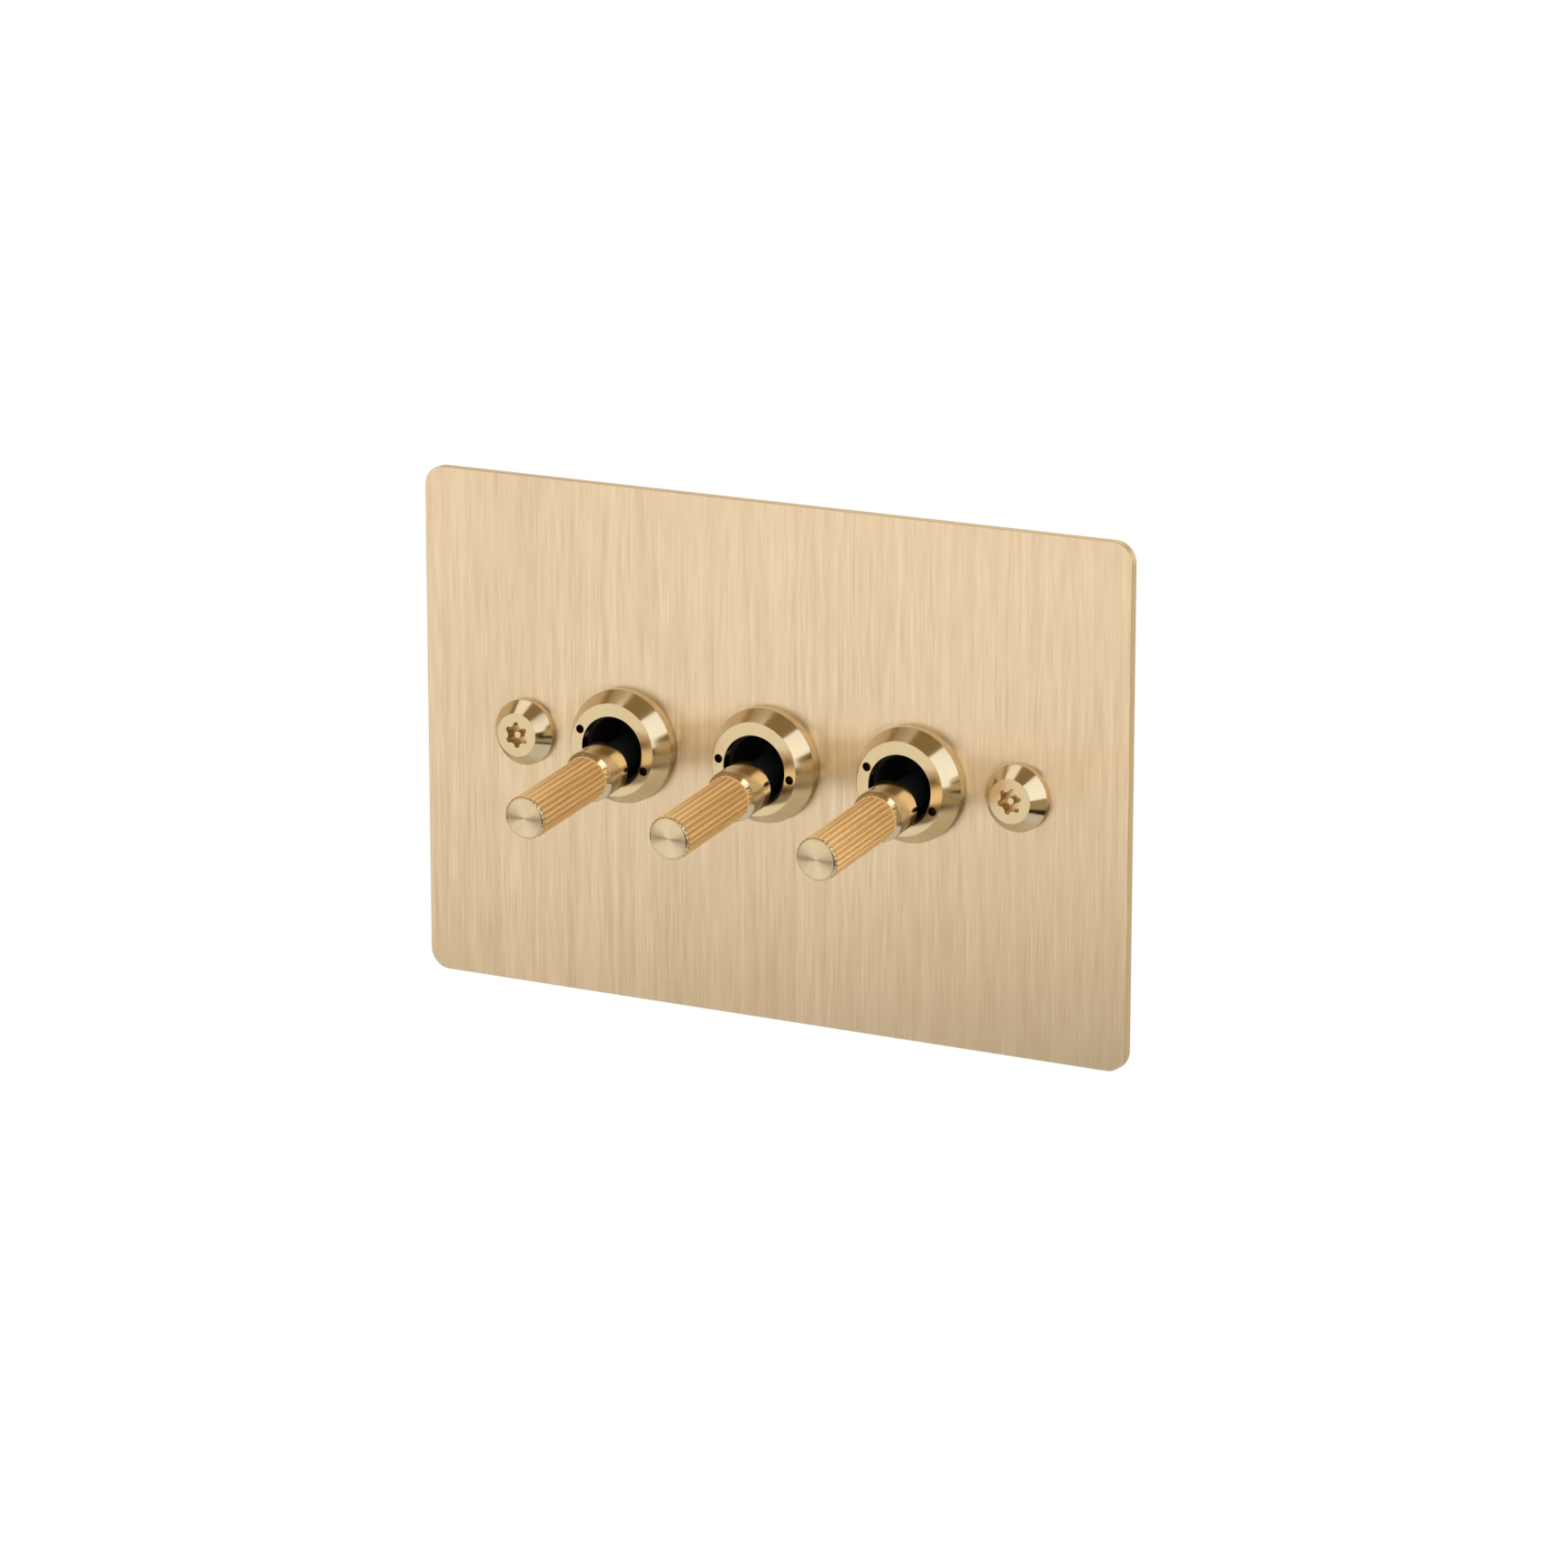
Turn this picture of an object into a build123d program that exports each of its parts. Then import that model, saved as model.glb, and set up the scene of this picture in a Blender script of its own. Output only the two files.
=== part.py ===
from build123d import *
import os
from math import cos, hypot, radians, sin

# Triple toggle light switch: one horizontal brass plate with three sprung toggles and their mechanisms.
# Millimetres. X runs to the right seen from the front, Y into the wall, Z up.
# The origin is the plate's centre on the wall: the plate's back lies on y = 0, the toggles point to -Y.
# Rest pose: all three toggles down.

# Face plate
PLATE_WIDTH = 119.5
PLATE_HEIGHT = 79.0
PLATE_THICKNESS = 1.5
PLATE_CORNER_RADIUS = 3.2
PLATE_EDGE_BREAK = 0.15
PLATE_RECESS_DEPTH = 0.5

# Mounting strap, sunk in the recess of the plate's back
STRAP_END_MARGIN = 7.0
STRAP_MARGIN = 0.6
STRAP_THICKNESS = 1.2
STRAP_CORNER_RADIUS = 3.0
STRAP_CLEARANCE = 0.3
STRAP_SLOT_LENGTH = 7.0
STRAP_SLOT_WIDTH = 4.2

# Fixing screws: pinned six-lobe drive in a bevelled head
SCREW_SPACING = 84.0
SCREW_HEAD_DIAMETER = 10.1
SCREW_RIM_HEIGHT = 1.0
SCREW_HEAD_HEIGHT = 3.1
SCREW_FACE_DIAMETER = 6.7
SCREW_THREAD_DIAMETER = 3.5
SCREW_NECK_DIAMETER = 3.2
SCREW_LENGTH = 30.0
SCREW_HOLE_CLEARANCE = 0.25
DRIVE_CORE_DIAMETER = 3.0
DRIVE_LOBE_DIAMETER = 0.9
DRIVE_LOBE_CIRCLE = 3.1
DRIVE_LOBES = 6
DRIVE_DEPTH = 1.8
DRIVE_PIN_DIAMETER = 1.2
DRIVE_PIN_SETBACK = 0.3
DRIVE_TURNS = {"left": 3.0, "right": -14.0}

# Toggles, from left to right seen from the front
GANGS = {"left": -1, "middle": 0, "right": 1}

# Bevelled collar nut with two spanner holes
COLLAR_DIAMETER = 17.5
COLLAR_RIM_HEIGHT = 1.6
COLLAR_HEIGHT = 4.35
COLLAR_FACE_DIAMETER = 14.3
COLLAR_HOLE_DIAMETER = 10.2
COLLAR_LIP_THICKNESS = 1.8
SPANNER_HOLE_DIAMETER = 1.36
SPANNER_HOLE_DEPTH = 1.2
SPANNER_CIRCLE = 12.2
SPANNER_TURNS = {"left": 25.7, "middle": 9.0, "right": 26.4}
EDGE_BREAK = 0.12

# Threaded bush that the collar screws onto
BUSH_DIAMETER = 12.0
BUSH_BORE = 9.6
BUSH_FLANGE_DIAMETER = 16.0
BUSH_FLANGE_THICKNESS = 1.5
BUSH_CLEARANCE = 0.1
THREAD_CLEARANCE = 0.03
SEAT_GAP = 0.05

# Switch housing
HOUSING_WIDTH = 22.0
HOUSING_HEIGHT = 36.0
HOUSING_SPACING = 2.5
HOUSING_WALL = 1.5
HOUSING_FRONT_WALL = 1.8
HOUSING_CORNER_RADIUS = 1.2
BOSS_DIAMETER = 5.0
POST_DEPTH = 8.0
POST_WIDTH = 2.5
POST_HEIGHT = 5.0
CASE_SCREW_DIAMETER = 2.0
CASE_SCREW_HEAD_DIAMETER = 3.2
CASE_SCREW_HEAD_HEIGHT = 1.2
CASE_SCREW_INSET = 12.0
CASE_SCREW_ENGAGEMENT = 6.5

# Toggle: knurled brass knob on an insulating lever that turns on a pin
TOGGLE_TILT = 7.2
PIVOT_DEPTH = 8.5
PIVOT_PIN_DIAMETER = 2.0
PIVOT_CLEARANCE = 0.05
PIN_SEAT_CLEARANCE = 0.02
PIN_END_SETBACK = 0.3
KNOB_GAP = 2.05
NECK_DIAMETER = 8.0
NECK_LENGTH = 5.4
NECK_EDGE_BREAK = 0.3
GRIP_DIAMETER = 6.8
GRIP_LENGTH = 18.0
GRIP_TIP_BEVEL = 0.5
FLUTES = 24
FLUTE_DIAMETER = 0.62
FLUTE_DEPTH = 0.22
SPIGOT_DIAMETER = 4.0
SPIGOT_LENGTH = 10.0
SPIGOT_CLEARANCE = 0.02
STEM_DIAMETER = 5.2
HUB_DIAMETER = 7.0
HUB_WIDTH = 12.0
HUB_END_GAP = 0.3
TAIL_DIAMETER = 6.4
TAIL_LENGTH = 8.5

# Sprung plunger in the lever's tail
PLUNGER_DIAMETER = 3.4
PLUNGER_LENGTH = 5.0
PLUNGER_PROJECTION = 2.5
PLUNGER_CLEARANCE = 0.05
PLUNGER_BORE_DEPTH = 6.3
SPRING_DIAMETER = 2.9
SPRING_WIRE = 0.4
SPRING_TURNS = 4.0
SPRING_END_GAP = 0.03

# Rocking contact that the plunger drives
ROCKER_END_MARGIN = 1.5
ROCKER_WIDTH = 4.0
ROCKER_THICKNESS = 0.9
ROCKER_FACE_OFFSET = 1.0
ROCKER_TURN_RATIO = 2.0
TRUNNION_DIAMETER = 1.6
TRUNNION_CLEARANCE = 0.05
PLUNGER_GAP = 0.08
CONTACT_MARGIN = 1.75
CONTACT_DIAMETER = 2.6
CONTACT_HEIGHT = 0.7
CONTACT_GAP = 0.05
FIXED_CONTACT_DIAMETER = 3.0
FIXED_CONTACT_HEIGHT = 0.6

# Screw terminals in the moulded base
STRIP_THICKNESS = 1.0
STRIP_WIDTH = 3.5
TERMINAL_WIDTH = 6.4
TERMINAL_HEIGHT = 5.5
TERMINAL_DEPTH = 5.0
TERMINAL_INSET = 2.5
TERMINAL_OFFSET_X = 4.2
TERMINAL_CLEARANCE = 0.05
WIRE_HOLE_DIAMETER = 3.2
WIRE_HOLE_DEPTH = 4.2
CLAMP_SCREW_DIAMETER = 2.5
CLAMP_SCREW_HEAD_DIAMETER = 3.8
CLAMP_SCREW_HEAD_HEIGHT = 1.5
CLAMP_SCREW_SETBACK = 2.35
CLAMP_SCREW_HEAD_GAP = 0.25
CLAMP_SCREW_TIP_GAP = 0.1
CLAMP_SLOT_WIDTH = 0.6
CLAMP_SLOT_DEPTH = 0.7
TERMINAL_LIP = 0.7
TERMINAL_LIP_THICKNESS = 1.4
EAR_THICKNESS = 0.8
EAR_HEIGHT = 4.0
EAR_GAP = 0.5
EAR_MARGIN = 0.8

# Earth terminal on the strap
EARTH_WIDTH = 8.0
EARTH_HEIGHT = 4.6
EARTH_DEPTH = 9.0
EARTH_GAP = 0.3
EARTH_RIVET_DIAMETER = 2.4
EARTH_WIRE_HOLE_DEPTH = 6.0

# Sizes that follow from the housing and the fixing screws: the toggles' pitch, strap, terminals and rocker
TOGGLE_PITCH = HOUSING_WIDTH + HOUSING_SPACING
STRAP_WIDTH = SCREW_SPACING + 2 * STRAP_END_MARGIN
STRAP_HEIGHT = HOUSING_HEIGHT + 2 * (EARTH_GAP + EARTH_HEIGHT + STRAP_MARGIN)
CASE_SCREW_HEIGHT = HOUSING_HEIGHT / 2 - CASE_SCREW_INSET
TERMINAL_OFFSET_Z = HOUSING_HEIGHT / 2 - TERMINAL_INSET - TERMINAL_HEIGHT / 2
CONTACT_SPAN = 2 * TERMINAL_OFFSET_Z - TERMINAL_HEIGHT - STRIP_WIDTH - 2 * CONTACT_MARGIN
ROCKER_LENGTH = CONTACT_SPAN + 2 * ROCKER_END_MARGIN

# Places along Y, from the front of the plate to the back of the base
front_y = -PLATE_THICKNESS
recess_y = -PLATE_RECESS_DEPTH
strap_back_y = recess_y + STRAP_THICKNESS
collar_face_y = front_y - COLLAR_HEIGHT
collar_lip_y = collar_face_y + COLLAR_LIP_THICKNESS
housing_inner_y = strap_back_y + HOUSING_FRONT_WALL
rocker_y = PIVOT_DEPTH + TAIL_LENGTH + PLUNGER_PROJECTION + PLUNGER_GAP + ROCKER_FACE_OFFSET

# The rocker leans the opposite way to its toggle, and the dome at its pressed end just meets its fixed contact
rocker_tilt = TOGGLE_TILT * ROCKER_TURN_RATIO
dome_radius = ((CONTACT_DIAMETER / 2) ** 2 + CONTACT_HEIGHT**2) / (2 * CONTACT_HEIGHT)
dome_tip = ROCKER_THICKNESS - ROCKER_FACE_OFFSET + CONTACT_HEIGHT
dome_reach = (
    CONTACT_SPAN / 2 * sin(radians(rocker_tilt))
    + dome_radius
    - (dome_radius - dome_tip) * cos(radians(rocker_tilt))
)
fixed_contact_y = rocker_y + dome_reach + CONTACT_GAP
strip_y = fixed_contact_y + FIXED_CONTACT_HEIGHT
floor_y = strip_y + STRIP_THICKNESS
terminal_back_y = strip_y + TERMINAL_DEPTH
lip_y = terminal_back_y + TERMINAL_CLEARANCE
base_back_y = lip_y + TERMINAL_LIP_THICKNESS
clamp_y = floor_y + CLAMP_SCREW_SETBACK

# Distances along the lever's axis, counted from its pivot towards the tip
knob_back = PIVOT_DEPTH - collar_face_y + KNOB_GAP
grip_start = knob_back + NECK_LENGTH
knob_tip = grip_start + GRIP_LENGTH
plunger_tip = -(TAIL_LENGTH + PLUNGER_PROJECTION)


def block(x, y, z):
    """Box between low and high limits along each axis."""
    sizes = [high - low for low, high in (x, y, z)]
    middle = [(low + high) / 2 for low, high in (x, y, z)]
    return Pos(*middle) * Box(*sizes)


def rod_x(radius, x, y, z):
    return Pos((x[0] + x[1]) / 2, y, z) * Rot(Y=90) * Cylinder(radius, x[1] - x[0])


def rod_y(radius, x, y, z):
    return Pos(x, (y[0] + y[1]) / 2, z) * Rot(X=90) * Cylinder(radius, y[1] - y[0])


def rod_z(radius, x, y, z):
    return Pos(x, y, (z[0] + z[1]) / 2) * Cylinder(radius, z[1] - z[0])


def plate(width, height, y, corner):
    """Upright plate with round corners, centred on X and Z, between two depths."""
    outline = RectangleRounded(width, height, corner)
    return extrude(Pos(0, y[1], 0) * Rot(X=90) * outline, y[1] - y[0])


def broken(before, corner, after, size):
    """The two points that replace a corner of an outline whose edge is broken by a small bevel."""
    points = []
    for end in (before, after):
        share = size / hypot(end[0] - corner[0], end[1] - corner[1])
        points.append((corner[0] + share * (end[0] - corner[0]), corner[1] + share * (end[1] - corner[1])))
    return points


def turned(points):
    """Solid of revolution about Y from an outline of (radius, y) points."""
    return revolve(make_face(Polyline(*points, close=True)), Axis.Y)


def bevelled_head(diameter, rim, face_diameter, height):
    """Outline of a head on the plate: a short rim, a wide bevel and a flat face, with broken edges."""
    foot = (diameter / 2, front_y)
    shoulder = (diameter / 2, front_y - rim)
    brow = (face_diameter / 2, front_y - height)
    centre = (0, front_y - height)
    return [
        (0, front_y),
        foot,
        *broken(foot, shoulder, brow, EDGE_BREAK),
        *broken(shoulder, brow, centre, EDGE_BREAK),
        centre,
    ]


def gang_x(gang):
    return GANGS[gang] * TOGGLE_PITCH


# Face plate with holes for the bushes and fixing screws
def face_plate():
    sheet = plate(PLATE_WIDTH, PLATE_HEIGHT, (front_y, 0), PLATE_CORNER_RADIUS)
    sheet = chamfer(sheet.faces().sort_by(Axis.Y)[0].edges(), PLATE_EDGE_BREAK)
    sheet -= plate(
        STRAP_WIDTH + 2 * STRAP_CLEARANCE,
        STRAP_HEIGHT + 2 * STRAP_CLEARANCE,
        (recess_y, PLATE_THICKNESS),
        STRAP_CORNER_RADIUS + STRAP_CLEARANCE,
    )
    through = (front_y - PLATE_THICKNESS, PLATE_THICKNESS)
    for gang in GANGS:
        sheet -= rod_y(BUSH_DIAMETER / 2 + BUSH_CLEARANCE, gang_x(gang), through, 0)
    for side in (-1, 1):
        sheet -= rod_y(SCREW_THREAD_DIAMETER / 2 + SCREW_HOLE_CLEARANCE, side * SCREW_SPACING / 2, through, 0)
    return sheet


# Steel strap with bush holes, slots for the fixing screws and a rivet hole for the earth terminal
def mounting_strap():
    strap = plate(STRAP_WIDTH, STRAP_HEIGHT, (recess_y, strap_back_y), STRAP_CORNER_RADIUS)
    through = (recess_y - STRAP_THICKNESS, strap_back_y + STRAP_THICKNESS)
    for gang in GANGS:
        strap -= rod_y(BUSH_DIAMETER / 2 + BUSH_CLEARANCE, gang_x(gang), through, 0)
    slot = SlotOverall(STRAP_SLOT_LENGTH, STRAP_SLOT_WIDTH)
    for side in (-1, 1):
        place = Pos(side * SCREW_SPACING / 2, through[1], 0) * Rot(X=90)
        strap -= extrude(place * slot, through[1] - through[0])
    strap -= rod_y(EARTH_RIVET_DIAMETER / 2 + THREAD_CLEARANCE, 0, through, earth_z())
    return strap


def fixing_screw(side, sign):
    head = turned(bevelled_head(SCREW_HEAD_DIAMETER, SCREW_RIM_HEIGHT, SCREW_FACE_DIAMETER, SCREW_HEAD_HEIGHT))
    drive = Circle(DRIVE_CORE_DIAMETER / 2)
    drive += PolarLocations(DRIVE_LOBE_CIRCLE / 2, DRIVE_LOBES, 90) * Circle(DRIVE_LOBE_DIAMETER / 2)
    drive -= Circle(DRIVE_PIN_DIAMETER / 2)
    face_y = front_y - SCREW_HEAD_HEIGHT
    socket = extrude(Rot(X=90) * Rot(Z=DRIVE_TURNS[side]) * drive, DRIVE_DEPTH)
    head -= Pos(0, face_y + DRIVE_DEPTH, 0) * socket
    head -= rod_y(DRIVE_PIN_DIAMETER / 2, 0, (face_y, face_y + DRIVE_PIN_SETBACK), 0)
    thread_y = strap_back_y + SEAT_GAP
    screw = head + rod_y(SCREW_NECK_DIAMETER / 2, 0, (front_y, thread_y), 0)
    screw += rod_y(SCREW_THREAD_DIAMETER / 2, 0, (thread_y, front_y + SCREW_LENGTH), 0)
    return Pos(sign * SCREW_SPACING / 2, 0, 0) * screw


# Earth terminal, riveted to the strap above the housings
def earth_z():
    return (HOUSING_HEIGHT + EARTH_HEIGHT) / 2 + EARTH_GAP


def earth_back_y():
    return strap_back_y + EARTH_DEPTH


def earth_screw_y():
    return earth_back_y() - EARTH_WIRE_HOLE_DEPTH / 2


def earth_terminal():
    z = earth_z()
    body = block(
        (-EARTH_WIDTH / 2, EARTH_WIDTH / 2),
        (strap_back_y, earth_back_y()),
        (z - EARTH_HEIGHT / 2, z + EARTH_HEIGHT / 2),
    )
    body += rod_y(EARTH_RIVET_DIAMETER / 2, 0, (recess_y, strap_back_y), z)
    body -= rod_y(WIRE_HOLE_DIAMETER / 2, 0, (earth_back_y() - EARTH_WIRE_HOLE_DEPTH, earth_back_y()), z)
    body -= rod_x(CLAMP_SCREW_DIAMETER / 2 + THREAD_CLEARANCE, (0, EARTH_WIDTH), earth_screw_y(), z)
    return body


def clamp_screw(reach):
    """Slotted clamp screw along +Z from the edge of its wire hole to a head beyond the terminal's face."""
    tip = WIRE_HOLE_DIAMETER / 2 + CLAMP_SCREW_TIP_GAP
    under_head = reach + CLAMP_SCREW_HEAD_GAP
    top = under_head + CLAMP_SCREW_HEAD_HEIGHT
    screw = rod_z(CLAMP_SCREW_DIAMETER / 2, 0, 0, (tip, under_head))
    screw += rod_z(CLAMP_SCREW_HEAD_DIAMETER / 2, 0, 0, (under_head, top))
    half_slot = CLAMP_SLOT_WIDTH / 2
    across = (-CLAMP_SCREW_HEAD_DIAMETER, CLAMP_SCREW_HEAD_DIAMETER)
    screw -= block(across, (-half_slot, half_slot), (top - CLAMP_SLOT_DEPTH, top))
    return screw


def earth_screw():
    return Pos(0, earth_screw_y(), earth_z()) * Rot(Y=90) * clamp_screw(EARTH_WIDTH / 2)


# Collar nut around each toggle
def collar(gang):
    outline = bevelled_head(COLLAR_DIAMETER, COLLAR_RIM_HEIGHT, COLLAR_FACE_DIAMETER, COLLAR_HEIGHT)
    ring = turned(outline)
    ring -= rod_y(BUSH_DIAMETER / 2 + THREAD_CLEARANCE, 0, (collar_lip_y, front_y), 0)
    ring -= rod_y(COLLAR_HOLE_DIAMETER / 2, 0, (collar_face_y, collar_lip_y), 0)
    hole = rod_y(
        SPANNER_HOLE_DIAMETER / 2,
        SPANNER_CIRCLE / 2,
        (collar_face_y, collar_face_y + SPANNER_HOLE_DEPTH),
        0,
    )
    for turn in (0, 180):
        ring -= Rot(Y=SPANNER_TURNS[gang] + turn) * hole
    return Pos(gang_x(gang), 0, 0) * ring


def bush(gang):
    x = gang_x(gang)
    flange = (housing_inner_y, housing_inner_y + BUSH_FLANGE_THICKNESS)
    tube = rod_y(BUSH_DIAMETER / 2, x, (collar_lip_y + SEAT_GAP, flange[1]), 0)
    tube += rod_y(BUSH_FLANGE_DIAMETER / 2, x, flange, 0)
    return tube - rod_y(BUSH_BORE / 2, x, (collar_lip_y, flange[1]), 0)


# Housing, pivot pin and base of one switch
def case_screw_places():
    """Two screws in opposite corners of the mechanism, as (x, z) from the gang's centre."""
    x = HOUSING_WIDTH / 2 - HOUSING_WALL - POST_WIDTH / 2 + CASE_SCREW_DIAMETER / 2
    return [(side * x, side * CASE_SCREW_HEIGHT) for side in (-1, 1)]


def housing(gang):
    half_inside = HOUSING_WIDTH / 2 - HOUSING_WALL
    inside_height = HOUSING_HEIGHT / 2 - HOUSING_WALL
    shell = plate(HOUSING_WIDTH, HOUSING_HEIGHT, (strap_back_y, floor_y), HOUSING_CORNER_RADIUS)
    shell -= block((-half_inside, half_inside), (housing_inner_y, floor_y), (-inside_height, inside_height))
    for side in (-1, 1):
        ends = sorted((side * half_inside, side * (HUB_WIDTH / 2 + HUB_END_GAP)))
        shell += rod_x(BOSS_DIAMETER / 2, ends, PIVOT_DEPTH, 0)
        post = sorted((side * half_inside, side * (half_inside - POST_WIDTH)))
        middle = side * CASE_SCREW_HEIGHT
        shell += block(post, (floor_y - POST_DEPTH, floor_y), (middle - POST_HEIGHT / 2, middle + POST_HEIGHT / 2))
    shell -= rod_y(BUSH_DIAMETER / 2 + BUSH_CLEARANCE, 0, (strap_back_y, housing_inner_y), 0)
    shell -= rod_x(PIVOT_PIN_DIAMETER / 2 + PIN_SEAT_CLEARANCE, (-HOUSING_WIDTH, HOUSING_WIDTH), PIVOT_DEPTH, 0)
    for x, z in case_screw_places():
        depth = (floor_y - CASE_SCREW_ENGAGEMENT, floor_y)
        shell -= rod_y(CASE_SCREW_DIAMETER / 2 + THREAD_CLEARANCE, x, depth, z)
    return Pos(gang_x(gang), 0, 0) * shell


def pivot_pin(gang):
    reach = HOUSING_WIDTH / 2 - PIN_END_SETBACK
    x = gang_x(gang)
    return rod_x(PIVOT_PIN_DIAMETER / 2, (x - reach, x + reach), PIVOT_DEPTH, 0)


# Terminal places from the gang's centre as (x, z); the clamp screws face up or down, away from the middle
TERMINALS = {
    "upper": (0, TERMINAL_OFFSET_Z),
    "lower": (-TERMINAL_OFFSET_X, -TERMINAL_OFFSET_Z),
    "common": (TERMINAL_OFFSET_X, -TERMINAL_OFFSET_Z),
}


def terminal_limits(name, margin=0):
    x, z = TERMINALS[name]
    half_width = TERMINAL_WIDTH / 2 + margin
    half_height = TERMINAL_HEIGHT / 2 + margin
    return (x - half_width, x + half_width), (z - half_height, z + half_height)


def terminal_base(gang):
    """Moulded base with an edge notch for each terminal and its clamp screw, and lips that keep them in."""
    base = plate(HOUSING_WIDTH, HOUSING_HEIGHT, (floor_y, base_back_y), HOUSING_CORNER_RADIUS)
    notches = (((floor_y, lip_y), TERMINAL_CLEARANCE), ((lip_y, base_back_y), -TERMINAL_LIP))
    for name, (x, z) in TERMINALS.items():
        edge = HOUSING_HEIGHT if z > 0 else -HOUSING_HEIGHT
        for depth, margin in notches:
            across, upright = terminal_limits(name, margin)
            base -= block(across, depth, sorted((min(upright, key=abs), edge)))
    for x, z in case_screw_places():
        base -= rod_y(CASE_SCREW_DIAMETER / 2 + THREAD_CLEARANCE, x, (floor_y, base_back_y), z)
    return Pos(gang_x(gang), 0, 0) * base


def case_screws(gang):
    screws = []
    for x, z in case_screw_places():
        head = (base_back_y, base_back_y + CASE_SCREW_HEAD_HEIGHT)
        screw = rod_y(CASE_SCREW_HEAD_DIAMETER / 2, x, head, z)
        screw += rod_y(CASE_SCREW_DIAMETER / 2, x, (floor_y - CASE_SCREW_ENGAGEMENT, base_back_y), z)
        screws.append(Pos(gang_x(gang), 0, 0) * screw)
    return Compound(screws)


def terminal_block(name):
    """Brass block with a wire hole open to the back and a threaded hole for its clamp screw."""
    x, z = TERMINALS[name]
    across, upright = terminal_limits(name)
    body = block(across, (strip_y, terminal_back_y), upright)
    body -= rod_y(WIRE_HOLE_DIAMETER / 2, x, (terminal_back_y - WIRE_HOLE_DEPTH, terminal_back_y), z)
    outward = sorted((z, z + (TERMINAL_HEIGHT if z > 0 else -TERMINAL_HEIGHT)))
    return body - rod_z(CLAMP_SCREW_DIAMETER / 2 + THREAD_CLEARANCE, x, clamp_y, outward)


def fixed_contact(sign):
    return rod_y(FIXED_CONTACT_DIAMETER / 2, 0, (fixed_contact_y, strip_y), sign * CONTACT_SPAN / 2)


def upper_terminal(gang):
    depth = (strip_y, floor_y)
    near = CONTACT_SPAN / 2 - STRIP_WIDTH / 2
    strip = block((-STRIP_WIDTH / 2, STRIP_WIDTH / 2), depth, (near, TERMINAL_OFFSET_Z - TERMINAL_HEIGHT / 2))
    return Pos(gang_x(gang), 0, 0) * (terminal_block("upper") + strip + fixed_contact(1))


def lower_terminal(gang):
    depth = (strip_y, floor_y)
    middle = -CONTACT_SPAN / 2
    pad = (middle - STRIP_WIDTH / 2, middle + STRIP_WIDTH / 2)
    left = -TERMINAL_OFFSET_X - STRIP_WIDTH / 2
    strip = block((left, STRIP_WIDTH / 2), depth, pad)
    strip += block((left, left + STRIP_WIDTH), depth, (-TERMINAL_OFFSET_Z + TERMINAL_HEIGHT / 2, pad[0]))
    return Pos(gang_x(gang), 0, 0) * (terminal_block("lower") + strip + fixed_contact(-1))


def ear_faces():
    """Inner and outer faces of the ears that carry the rocker, from the gang's centre."""
    inner = ROCKER_WIDTH / 2 + EAR_GAP
    return inner, inner + EAR_THICKNESS


def common_terminal(gang):
    depth = (strip_y, floor_y)
    inner, outer = ear_faces()
    upright = (-EAR_HEIGHT / 2, EAR_HEIGHT / 2)
    right = max(outer, TERMINAL_OFFSET_X) + STRIP_WIDTH / 2
    piece = terminal_block("common")
    piece += block((right - STRIP_WIDTH, right), depth, (-TERMINAL_OFFSET_Z + TERMINAL_HEIGHT / 2, upright[1]))
    piece += block((-outer, right), depth, upright)
    for ear in ((-outer, -inner), (inner, outer)):
        piece += block(ear, (rocker_y - TRUNNION_DIAMETER / 2 - EAR_MARGIN, strip_y), upright)
    piece -= rod_x(TRUNNION_DIAMETER / 2 + TRUNNION_CLEARANCE, (-outer, outer), rocker_y, 0)
    return Pos(gang_x(gang), 0, 0) * piece


def terminal_screws(gang):
    screws = []
    for x, z in TERMINALS.values():
        turn = Rot() if z > 0 else Rot(X=180)
        screws.append(Pos(gang_x(gang) + x, clamp_y, z) * turn * clamp_screw(TERMINAL_HEIGHT / 2))
    return Compound(screws)


def rocker_contact(gang):
    """Rocking arm with a contact dome at each end, leaning with its upper end pressed back."""
    face = -ROCKER_FACE_OFFSET
    back = face + ROCKER_THICKNESS
    half = ROCKER_WIDTH / 2
    arm = block((-half, half), (face, back), (-ROCKER_LENGTH / 2, ROCKER_LENGTH / 2))
    arm += rod_x(TRUNNION_DIAMETER / 2, (-ear_faces()[1], ear_faces()[1]), 0, 0)
    ball = Sphere(dome_radius)
    for sign in (-1, 1):
        dome = Pos(0, dome_tip - dome_radius, sign * CONTACT_SPAN / 2) * ball
        arm += dome & rod_y(CONTACT_DIAMETER / 2, 0, (back, back + CONTACT_HEIGHT), sign * CONTACT_SPAN / 2)
    return Pos(gang_x(gang), rocker_y, 0) * Rot(X=-rocker_tilt) * arm


# Toggle pieces are made along +Z from the pivot, then laid along the leaning lever
def on_lever(gang, piece):
    return Pos(gang_x(gang), PIVOT_DEPTH, 0) * Rot(X=90 + TOGGLE_TILT) * piece


def turned_z(points):
    return Rot(X=90) * turned(points)


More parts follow.
